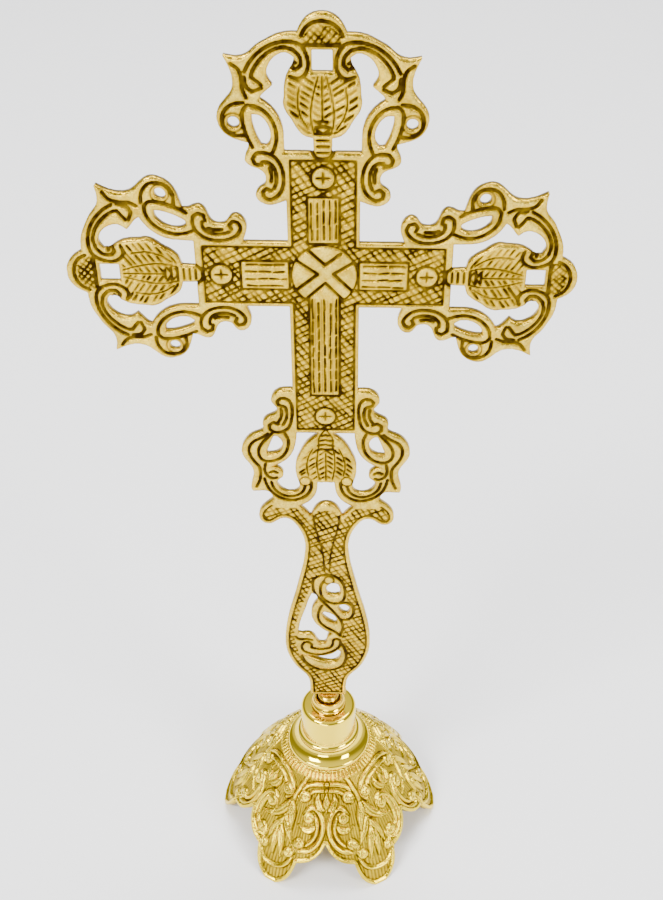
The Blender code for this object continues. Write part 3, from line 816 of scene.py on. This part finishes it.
def rim_height(degrees):
    """Height of the rim at an angle from the middle of a gap, 0 to 30 degrees."""
    gap = smooth_line(LOBE_GAP, steps=8)
    line, _ = profile_points()
    radius = np.interp(-gap[:, 1], -line[:, 1], line[:, 0])
    angle = np.degrees(np.arcsin(np.clip(gap[:, 0] / radius, 0, 1)))
    return np.interp(degrees, angle, np.maximum(gap[:, 1], 0.0))


def on_dome(degrees, height, line):
    radius = np.interp(-np.asarray(height), -line[:, 1], line[:, 0])
    angle = np.radians(degrees)
    return np.stack([radius * np.sin(angle), -radius * np.cos(angle), np.asarray(height, float)], -1)


class Lobe:
    """One stretch of the dome's pattern, as a grid that fits the rim, with the height of its relief."""

    def __init__(self):
        self.line, self.run = profile_points()
        self.degrees = np.linspace(0, PATTERN, DOME_COLUMNS + 1)
        from_gap = np.minimum(self.degrees, PATTERN - self.degrees)
        ends = np.interp(-rim_height(from_gap), -self.line[:, 1], self.run)
        share = np.linspace(0, 1, DOME_ROWS + 1)[:, None]
        self.arc = share * ends[None, :]
        self.radius = np.interp(self.arc, self.run, self.line[:, 0])
        self.height = np.interp(self.arc, self.run, self.line[:, 1])
        angle = np.radians(np.broadcast_to(self.degrees, self.arc.shape))
        self.angle = angle
        self.spot = np.stack([self.radius * np.sin(angle), -self.radius * np.cos(angle), self.height], -1)
        wide = np.linspace(-6, PATTERN + 6, 400)
        rim = on_dome(wide, rim_height(np.minimum(np.abs(wide), np.abs(PATTERN - wide))), self.line)
        self.from_rim = self.distance(rim)
        self.relief = np.full(self.arc.shape, -RELIEF)

    def near_segment(self, a, b):
        """How far along the segment each point's nearest spot is, and how far away."""
        run = b - a
        along = np.clip(((self.spot - a) @ run) / max(run @ run, 1e-12), 0, 1)
        return along, np.linalg.norm(self.spot - a - along[..., None] * run, axis=-1)

    def distance(self, route):
        found = np.full(self.arc.shape, 99.0)
        for a, b in zip(route[:-1], route[1:]):
            found = np.minimum(found, self.near_segment(a, b)[1])
        return found

    def mirror_routes(self, route):
        """The route, and its mirror images past either end where they come near."""
        a = np.array(route, float)
        routes = [a]
        if a[:, 0].min() < 8:
            routes.append(a * (-1, 1))
        if a[:, 0].max() > PATTERN - 8:
            routes.append(a * (-1, 1) + (2 * PATTERN, 0))
        return routes

    def surface_route(self, points):
        line = smooth_line(points) if len(points) > 2 else np.array(points, float)
        return on_dome(line[:, 0], line[:, 1], self.line)

    def raise_to(self, values, beyond=None):
        """Lays a raised shape on what is there, with a narrow channel round it."""
        if beyond is not None:
            channel = (beyond > 0) & (beyond < CHANNEL_WIDTH)
            self.relief = np.where(channel, np.minimum(self.relief, -CHANNEL), self.relief)
        self.relief = np.maximum(self.relief, values)

    def band(self, points, half_width):
        """A raised round-topped band along a line."""
        for route in self.mirror_routes(points):
            apart = self.distance(self.surface_route(route))
            shape = np.sqrt(np.clip(1 - (apart / half_width) ** 2, 0, 1))
            raised = np.where(apart < half_width, -RELIEF + RELIEF * shape, -9)
            self.raise_to(raised, apart - half_width)

    def eye(self, degrees, height, radius):
        """A flat-topped boss with a dimple, as at the end of each scroll."""
        for route in self.mirror_routes([(degrees, height)]):
            centre = on_dome(route[:, 0], route[:, 1], self.line)[0]
            apart = np.linalg.norm(self.spot - centre, axis=-1)
            boss = -RELIEF + RELIEF * np.clip(1 - (apart / radius) ** 4, 0, 1) ** 0.5
            self.raise_to(np.where(apart < radius, boss, -9), apart - radius)
            dimple = np.clip(1 - (apart / EYE_DIMPLE[0]) ** 2, 0, 1)
            self.relief = self.relief - EYE_DIMPLE[1] * dimple

    def leaf(self, points, half_width):
        """A raised leaf, widest a third of the way along, with a groove down its middle."""
        for route in self.mirror_routes(points):
            line = self.surface_route(route)
            share = np.linspace(0, 1, len(line))
            width = half_width * np.clip(np.sin(math.pi * share**0.75), 0.18, 1)
            best = np.full(self.arc.shape, 9.0)
            middle = np.full(self.arc.shape, 9.0)
            beyond = np.full(self.arc.shape, 9.0)
            for k in range(len(line) - 1):
                along, apart = self.near_segment(line[k], line[k + 1])
                here = width[k] + (width[k + 1] - width[k]) * along
                best = np.minimum(best, apart / here)
                middle = np.minimum(middle, apart)
                beyond = np.minimum(beyond, apart - here)
            shape = -RELIEF + RELIEF * np.clip(1.25 * (1 - best**2), 0, 1) ** 0.6
            shape = shape - LEAF_GROOVE[1] * np.clip(1 - (middle / LEAF_GROOVE[0]) ** 2, 0, 1)
            self.raise_to(np.where(best < 1, shape, -9), beyond)

    def background(self):
        """Fine upright lines behind the scrolls."""
        phase = (np.degrees(self.angle) / PATTERN * LINES_BEHIND) % 1
        line = np.clip(1 - (np.abs(phase - 0.5) / 0.34) ** 2, 0, 1)
        self.relief = self.relief + LINE_HEIGHT * line - 0.1

    def flutes(self):
        """The ring of radial flutes round the skirt ring."""
        phase = (np.degrees(self.angle) * FLUTES / 360) % 1
        ridge = np.abs(np.sin(math.pi * phase))
        low, high = FLUTE_BAND
        inner = np.clip((self.radius - low) / 0.5, 0, 1)
        outer = np.clip((high - self.radius) / 0.5, 0, 1)
        weight = inner * outer
        self.relief = self.relief * (1 - weight) + weight * (-RELIEF + RELIEF * ridge)
        self.relief = np.where(self.radius < low, -HUB_SINK, self.relief)


def carve_lobe():
    """One stretch of the dome with all its relief."""
    lobe = Lobe()
    lobe.background()
    for points, half_width in DOME_BANDS:
        lobe.band(points, half_width)
    for points, half_width in DOME_LEAVES:
        lobe.leaf(points, half_width)
    lobe.raise_to(np.where(lobe.from_rim < RIM_BAND, 0.0, -9), lobe.from_rim - RIM_BAND)
    for degrees, height, radius in DOME_EYES:
        lobe.eye(degrees, height, radius)
    lobe.flutes()
    near = np.clip(lobe.from_rim / RIM_SOFT, 0, 1)
    lobe.relief = lobe.relief - 0.15 * (1 - near) ** 2
    return lobe


def make_dome():
    """The relief shell: the carved outside, a plain inside, and the rim and hub hole between them."""
    lobe = carve_lobe()
    slope_r = np.gradient(lobe.line[:, 0], lobe.run)
    slope_z = np.gradient(lobe.line[:, 1], lobe.run)
    out_r = np.interp(lobe.arc, lobe.run, -slope_z)
    out_z = np.interp(lobe.arc, lobe.run, slope_r)
    length = np.hypot(out_r, out_z)
    out_r, out_z = out_r / length, out_z / length

    def shell(offset):
        r = lobe.radius + out_r * offset
        z = lobe.height + out_z * offset
        return r, z

    outer_r, outer_z = shell(lobe.relief)
    inner_r, inner_z = shell(np.full(lobe.arc.shape, -DOME_WALL))
    rim_z = lobe.height[-1]
    inner_r[0], inner_z[0] = lobe.radius[0], lobe.height[0, 0] - DOME_WALL
    outer_z[-1] = rim_z
    outer_z, inner_z = np.maximum(outer_z, 0), np.maximum(inner_z, 0)
    inner_z[-1] = rim_z

    def all_round(values):
        """The pattern's columns, mirrored and repeated right round."""
        pair = np.concatenate([values, values[:, -2:0:-1]], 1)
        return np.tile(pair, (1, LOBES // 2))

    columns = DOME_COLUMNS * LOBES
    around = np.arange(columns) / columns * 2 * math.pi + BASE_TURN
    rows = DOME_ROWS + 1

    def place(r, z):
        r, z = all_round(r), all_round(z)
        return np.stack([r * np.sin(around), -r * np.cos(around), z], -1).reshape(-1, 3)

    outer, inner = place(outer_r, outer_z), place(inner_r, inner_z)
    total = rows * columns
    i, j = np.meshgrid(np.arange(rows - 1), np.arange(columns), indexing="ij")
    k = (j + 1) % columns
    quads = np.stack([i * columns + j, (i + 1) * columns + j, (i + 1) * columns + k, i * columns + k], -1)
    outside = quads.reshape(-1, 4)
    inside = outside[:, ::-1] + total
    j = np.arange(columns)
    k = (j + 1) % columns
    last = (rows - 1) * columns
    rim = np.stack([last + j, last + total + j, last + total + k, last + k], -1)
    hub = np.stack([k, k + total, j + total, j], -1)
    faces = np.concatenate([outside, inside, rim, hub])
    corner_list = faces.ravel()
    mesh = mesh_from_arrays(
        "relief_dome", np.concatenate([outer, inner]) * MM, corner_list, np.full(len(faces), 4)
    )
    low = np.clip((-all_round(lobe.relief).ravel() - 0.1) / (CHANNEL - 0.15), 0, 1)
    add_attribute(mesh, "groove", np.concatenate([low, np.full(total, 0.35)]))
    reach = all_round(np.broadcast_to(lobe.arc / lobe.run[-1], lobe.arc.shape)).ravel()
    angle = np.tile(around, rows)
    disc = np.stack([reach * np.cos(angle), reach * np.sin(angle)], 1)
    atlas = np.concatenate([disc * 0.36 + (0.37, 0.37), disc * 0.13 + (0.86, 0.86)])
    add_bake_layer(mesh, atlas, corner_list)
    mesh.materials.append(cast_brass())
    return add_piece("relief_dome", mesh, "stand", "bright_cast_brass", "base_dome")


# ---- Turned pieces --------------------------------------------------------------------------

TURN_STEPS = 144
CORNER_RADIUS = 0.18
GAP = 0.3
PIN_RADIUS = 3.4
PIN_END = 42.0
NECK_END = 58.5
FERRULE_TOP = 56.5
SOCKET_TOP = 53.0
SOCKET_FOOT = 39.9
SOCKET_RADIUS = 9.2
SKIRT_FOOT = 34.8
SKIRT_RADIUS = 13.9
BORE_RADIUS = PIN_RADIUS + GAP
RECESS_RADIUS = 5.3
RECESS_FLOOR = 49.0
SPIGOT_RADIUS = 6.0
SPIGOT_FOOT = 32.9
SCREW_HOLE_RADIUS = 2.7
SCREW_HOLE_TOP = 39.0
BORE_FLOOR = 41.6


def arc(centre, radius, start, end, steps):
    angles = [math.radians(start + (end - start) * i / steps) for i in range(steps + 1)]
    return [(centre[0] + radius * math.cos(a), centre[1] + radius * math.sin(a)) for a in angles]


def turned_mesh(name, profile, closed, sharp=35):
    """A solid of revolution from a profile that runs down its outer side."""
    steps = TURN_STEPS
    around = np.arange(steps) / steps * 2 * math.pi
    spots, rings = [], []
    for radius, height in profile:
        if radius == 0:
            rings.append([len(spots)] * steps)
            spots.append((0, 0, height))
        else:
            rings.append(list(range(len(spots), len(spots) + steps)))
            spots += [(radius * math.cos(a), radius * math.sin(a), height) for a in around]
    faces = []
    count = len(rings)
    for index in range(count if closed else count - 1):
        upper, lower = rings[index], rings[(index + 1) % count]
        for k in range(steps):
            n = (k + 1) % steps
            face = [upper[k], lower[k], lower[n], upper[n]]
            faces.append(list(dict.fromkeys(face)))
    mesh = bpy.data.meshes.new(name)
    mesh.from_pydata([Vector(p) * MM for p in spots], [], faces)
    mesh.validate()
    mesh.shade_smooth()
    mesh.set_sharp_from_angle(angle=math.radians(sharp))
    return mesh


def softened(points, radius=CORNER_RADIUS, steps=3):
    """The profile with its outside and inside corners rounded a little."""
    result = []
    count = len(points)
    for i, here in enumerate(points):
        if i in (0, count - 1):
            result.append(here)
            continue
        before, after = points[i - 1], points[i + 1]
        p, q = Vector(before) - Vector(here), Vector(after) - Vector(here)
        if p.length < 3 * radius or q.length < 3 * radius or math.degrees(p.angle(q)) > 150:
            result.append(here)
            continue
        a, b = Vector(here) + p.normalized() * radius, Vector(here) + q.normalized() * radius
        for k in range(steps + 1):
            t = k / steps
            spot = a * (1 - t) ** 2 + Vector(here) * 2 * t * (1 - t) + b * t**2
            result.append((spot.x, spot.y))
    return result


def make_pin():
    top = NECK_END - GAP
    profile = [(0, top), (PIN_RADIUS - 0.7, top), (PIN_RADIUS, top - 0.6), (PIN_RADIUS, PIN_END + 1.2)]
    profile += [(PIN_RADIUS - 0.9, PIN_END), (0, PIN_END)]
    mesh = turned_mesh("round_pin", softened(profile), False)
    mesh.materials.append(polished_brass("pin_brass", GOLD, 0.24))
    return add_piece("round_pin", mesh, "cross", "antique_brass", "cross_pin")


def make_ferrule():
    foot, shank = SOCKET_TOP + GAP, RECESS_RADIUS - GAP
    flange = [(4.1, FERRULE_TOP)] + arc((4.35, FERRULE_TOP - 0.35), 0.35, 90, 0, 5)
    flange += arc((6.9, FERRULE_TOP - 0.5), 2.15, 184, 232, 10) + [(5.75, foot + 0.6), (5.75, foot)]
    inside = [(shank, foot), (shank, RECESS_FLOOR + GAP), (BORE_RADIUS, RECESS_FLOOR + GAP)]
    inside += [(BORE_RADIUS, FERRULE_TOP - 1.9), (4.1, FERRULE_TOP - 1.2)]
    mesh = turned_mesh("turned_ferrule", flange + inside, True)
    mesh.materials.append(polished_brass("ferrule_brass", FERRULE_GOLD, 0.14))
    return add_piece("turned_ferrule", mesh, "ferrule", "polished_brass", "ferrule")


def make_socket():
    edge = 1.5
    bore = [(0, BORE_FLOOR), (BORE_RADIUS, BORE_FLOOR), (BORE_RADIUS, RECESS_FLOOR)]
    rim = [(RECESS_RADIUS, RECESS_FLOOR), (RECESS_RADIUS, SOCKET_TOP - 0.15)]
    rim.append((RECESS_RADIUS + 0.15, SOCKET_TOP))
    rim += arc((SOCKET_RADIUS - edge, SOCKET_TOP - edge), edge, 90, 0, 14)
    foot = arc((10.6, SOCKET_FOOT + 1.9), 1.4, 180, 259, 12) + [(10.3, SOCKET_FOOT)]
    spigot = [(SPIGOT_RADIUS, SOCKET_FOOT), (SPIGOT_RADIUS, SPIGOT_FOOT)]
    hole = [(SCREW_HOLE_RADIUS, SPIGOT_FOOT), (SCREW_HOLE_RADIUS, SCREW_HOLE_TOP), (0, SCREW_HOLE_TOP)]
    mesh = turned_mesh("turned_socket", bore + rim + foot + spigot + hole, False)
    mesh.materials.append(polished_brass("socket_brass", POLISHED, 0.09))
    return add_piece("turned_socket", mesh, "stand", "polished_brass", "socket")


def make_skirt():
    top, hole = SOCKET_FOOT - GAP, SPIGOT_RADIUS + GAP
    flank = arc((15.4, 41.3), 5.3, 199, 249, 16)
    profile = [(hole, top)] + flank + [(SKIRT_RADIUS - 0.25, 36.25), (SKIRT_RADIUS, 35.9)]
    profile += [(SKIRT_RADIUS, SKIRT_FOOT), (hole, SKIRT_FOOT)]
    mesh = turned_mesh("turned_skirt", profile, True, sharp=50)
    mesh.materials.append(polished_brass("skirt_brass", POLISHED, 0.07))
    return add_piece("turned_skirt", mesh, "stand", "polished_brass", "skirt_ring")


# ---- Materials ------------------------------------------------------------------------------

class Nodes:
    """A material's node tree with short calls to add and join nodes."""

    def __init__(self, name):
        self.material = bpy.data.materials.new(name)
        self.material.use_nodes = True
        self.tree = self.material.node_tree
        self.shader = self.tree.nodes["Principled BSDF"]

    def add(self, kind, **settings):
        node = self.tree.nodes.new(kind)
        for key, value in settings.items():
            if hasattr(node, key):
                setattr(node, key, value)
            else:
                node.inputs[key].default_value = value
        return node

    def join(self, source, target):
        self.tree.links.new(source, target)

    def place(self):
        return self.add("ShaderNodeTexCoord").outputs["Object"]

    def noise(self, scale, detail=3.0, roughness=0.55):
        node = self.add("ShaderNodeTexNoise")
        node.inputs["Scale"].default_value = scale
        node.inputs["Detail"].default_value = detail
        node.inputs["Roughness"].default_value = roughness
        self.join(self.place(), node.inputs["Vector"])
        return node.outputs["Fac"]

    def remap(self, value, low, high, to_low=0.0, to_high=1.0):
        node = self.add("ShaderNodeMapRange")
        for name, limit in zip(("From Min", "From Max", "To Min", "To Max"), (low, high, to_low, to_high)):
            node.inputs[name].default_value = limit
        self.join(value, node.inputs["Value"])
        return node.outputs["Result"]

    def mix(self, factor, first, second):
        node = self.add("ShaderNodeMix", data_type="RGBA")
        self.join(factor, node.inputs[0])
        for socket, value in ((node.inputs[6], first), (node.inputs[7], second)):
            if isinstance(value, tuple):
                socket.default_value = (*value, 1.0)
            else:
                self.join(value, socket)
        return node.outputs[2]

    def maths(self, operation, first, second):
        node = self.add("ShaderNodeMath", operation=operation)
        for socket, value in zip(node.inputs, (first, second)):
            if isinstance(value, (int, float)):
                socket.default_value = value
            else:
                self.join(value, socket)
        return node.outputs[0]

    def bump(self, height, distance, strength=1.0):
        node = self.add("ShaderNodeBump")
        node.inputs["Distance"].default_value = distance
        node.inputs["Strength"].default_value = strength
        self.join(height, node.inputs["Height"])
        self.join(node.outputs["Normal"], self.shader.inputs["Normal"])

    def attribute(self, name):
        return self.add("ShaderNodeAttribute", attribute_name=name).outputs["Fac"]


def relief_brass(name, colours, shade_span, rough, grain):
    """Cast brass: mottled gold, dark in the low places and at the plate's edges, and pale on the high ones;
    the edge darkening is partly painted shade, and the pale is partly wear and partly painted highlight.
    """
    body, pale, deep, shade = colours
    n = Nodes(name)
    groove = n.attribute("groove")
    patches = n.remap(n.noise(110, 4), 0.36, 0.66)
    streaks = n.remap(n.noise(520, 3), 0.3, 0.7)
    colour = n.mix(patches, body, deep)
    # pale on the high ground away from the grooves: partly wear, partly painted highlight
    wear_and_highlight = n.maths("MULTIPLY", streaks, n.remap(groove, 0.0, 0.25, 1.0, 0.0))
    colour = n.mix(n.maths("MULTIPLY", wear_and_highlight, 0.55), colour, pale)
    colour = n.mix(n.remap(n.noise(1700, 2), 0.45, 0.72, 0.0, 0.6), colour, deep)
    # darker toward the shade colour in the low places: patina in the cross's grooves, and at the plate's
    # edges partly painted shade
    patina_and_shade = n.remap(groove, *shade_span)
    patina_and_shade = n.maths("MULTIPLY", patina_and_shade, n.remap(n.noise(300, 2), 0.25, 0.6, 0.72, 1.0))
    colour = n.mix(patina_and_shade, colour, shade)
    n.join(colour, n.shader.inputs["Base Color"])
    n.shader.inputs["Metallic"].default_value = 1.0
    low, high = rough
    roughness = n.maths("ADD", n.remap(streaks, 0, 1, low, high), n.maths("MULTIPLY", patina_and_shade, 0.3))
    n.join(roughness, n.shader.inputs["Roughness"])
    n.bump(n.noise(1500, 3), grain)
    return n.material


def antique_brass():
    colours = (GOLD, GOLD_PALE, GOLD_DEEP, PATINA_AND_EDGE_SHADE)
    return relief_brass("antique_brass", colours, (0.2, 0.66), (0.2, 0.32), 0.00011)


def cast_brass():
    colours = (DOME_GOLD, DOME_PALE, DOME_DEEP, DOME_SHADE)
    return relief_brass("bright_cast_brass", colours, (0.34, 0.95), (0.16, 0.28), 0.00008)


def polished_brass(name, colour, roughness):
    """Turned and polished: fine rings round the axis, and faint smears."""
    n = Nodes(name)
    smears = n.noise(160, 3)
    n.join(n.mix(n.remap(smears, 0.35, 0.7, 0, 0.15), colour, GOLD_PALE), n.shader.inputs["Base Color"])
    n.shader.inputs["Metallic"].default_value = 1.0
    n.join(n.remap(smears, 0.3, 0.7, roughness * 0.8, roughness * 1.4), n.shader.inputs["Roughness"])
    rings = n.add("ShaderNodeTexNoise")
    stretch = n.add("ShaderNodeMapping")
    stretch.inputs["Scale"].default_value = (20, 20, 6000)
    n.join(n.place(), stretch.inputs["Vector"])
    n.join(stretch.outputs["Vector"], rings.inputs["Vector"])
    rings.inputs["Scale"].default_value = 1.0
    n.bump(rings.outputs["Fac"], 0.000004)
    return n.material


def zinc_plate():
    n = Nodes("zinc_plate")
    spangle = n.noise(700, 4)
    n.join(n.mix(n.remap(spangle, 0.3, 0.7), ZINC, (0.60, 0.59, 0.55)), n.shader.inputs["Base Color"])
    n.shader.inputs["Metallic"].default_value = 1.0
    n.join(n.remap(spangle, 0.3, 0.7, 0.28, 0.46), n.shader.inputs["Roughness"])
    n.bump(n.noise(2500, 2), 0.00003)
    return n.material


def paint_fixing():
    steel = zinc_plate()
    for name in ("clamp_stud", "plain_washer", "spring_washer", "hex_nut"):
        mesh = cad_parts[name].data
        mesh.materials.clear()
        mesh.materials.append(steel)


# ---- Stage ----------------------------------------------------------------------------------

CAMERA_PLACE = (0.0099, -0.2447, 0.3422)
CAMERA_DOWN = 36.7
CAMERA_ROLL = 0.8
CAMERA_TURN = 0.03
CAMERA_LENS = 43.64
CAMERA_SHIFT = -0.0326

WORLD_SHADES = [(0.0, 0.9), (0.2, 0.9), (0.36, 0.3), (0.62, 0.35), (0.8, 1.0), (1.0, 1.3)]  # (height, grey)
FLOOR_REACH = 4.0
FLOOR_WHITE = (0.86, 0.86, 0.87)
LIGHT_AIM = (0, 0, 0.14)
LIGHTS = [  # (name, place, size, watts)
    ("key", (-1.5, -1.5, 2.5), (1.1, 0.9), 130),
    ("fill", (2.0, -1.6, 1.7), (0.9, 1.1), 80),
    ("top", (0.2, 1.0, 3.0), (2.0, 1.2), 130),
    ("low", (-0.8, -3.0, 0.7), (1.6, 0.5), 40),
]


def make_floor():
    mesh = bpy.data.meshes.new("floor")
    corners = [(x * FLOOR_REACH, y * FLOOR_REACH, 0) for x, y in ((-1, -1), (1, -1), (1, 1), (-1, 1))]
    mesh.from_pydata(corners, [], [(0, 1, 2, 3)])
    floor = bpy.data.objects.new("floor", mesh)
    bpy.context.scene.collection.objects.link(floor)
    n = Nodes("pale_floor")
    n.shader.inputs["Base Color"].default_value = (*FLOOR_WHITE, 1)
    n.shader.inputs["Roughness"].default_value = 0.55
    n.shader.inputs["Specular IOR Level"].default_value = 0.3
    mesh.materials.append(n.material)


def add_light(name, place, size, power):
    data = bpy.data.lights.new(name, "AREA")
    data.shape = "RECTANGLE"
    data.size, data.size_y = size
    data.energy = power
    light = bpy.data.objects.new(name, data)
    bpy.context.scene.collection.objects.link(light)
    light.location = place
    light.rotation_euler = (Vector(LIGHT_AIM) - Vector(place)).to_track_quat("-Z", "Y").to_euler()


def make_lights():
    """A sky that is bright below and above and darker between, and the four area lights."""
    world = bpy.data.worlds.new("studio")
    bpy.context.scene.world = world
    world.use_nodes = True
    back = world.node_tree.nodes["Background"]
    tree = world.node_tree
    place = tree.nodes.new("ShaderNodeTexCoord")
    split = tree.nodes.new("ShaderNodeSeparateXYZ")
    ramp = tree.nodes.new("ShaderNodeValToRGB")
    tree.links.new(place.outputs["Generated"], split.inputs["Vector"])
    tree.links.new(split.outputs["Z"], ramp.inputs["Fac"])
    tree.links.new(ramp.outputs["Color"], back.inputs["Color"])
    elements = ramp.color_ramp.elements
    for height, _ in WORLD_SHADES[1:-1]:
        elements.new(height)
    for element, (height, shade) in zip(elements, WORLD_SHADES):
        element.position = height
        element.color = (shade, shade, shade, 1)
    back.inputs["Strength"].default_value = 1.0
    for light in LIGHTS:
        add_light(*light)


def make_camera():
    data = bpy.data.cameras.new("camera")
    data.sensor_fit = "AUTO"
    data.sensor_width = 36
    data.lens = CAMERA_LENS
    data.shift_x = CAMERA_SHIFT
    data.clip_start = 0.01
    camera = bpy.data.objects.new("camera", data)
    bpy.context.scene.collection.objects.link(camera)
    turn = Matrix.Rotation(math.radians(CAMERA_TURN), 4, "Z")
    tilt = Matrix.Rotation(math.radians(90 - CAMERA_DOWN), 4, "X")
    roll = Matrix.Rotation(math.radians(CAMERA_ROLL), 4, "Z")
    camera.matrix_world = Matrix.Translation(CAMERA_PLACE) @ turn @ tilt @ roll
    bpy.context.scene.camera = camera


# ---- Making ---------------------------------------------------------------------------------

make_camera()
make_lights()
make_floor()
make_cross()
make_pin()
make_ferrule()
make_socket()
make_skirt()
make_dome()
paint_fixing()
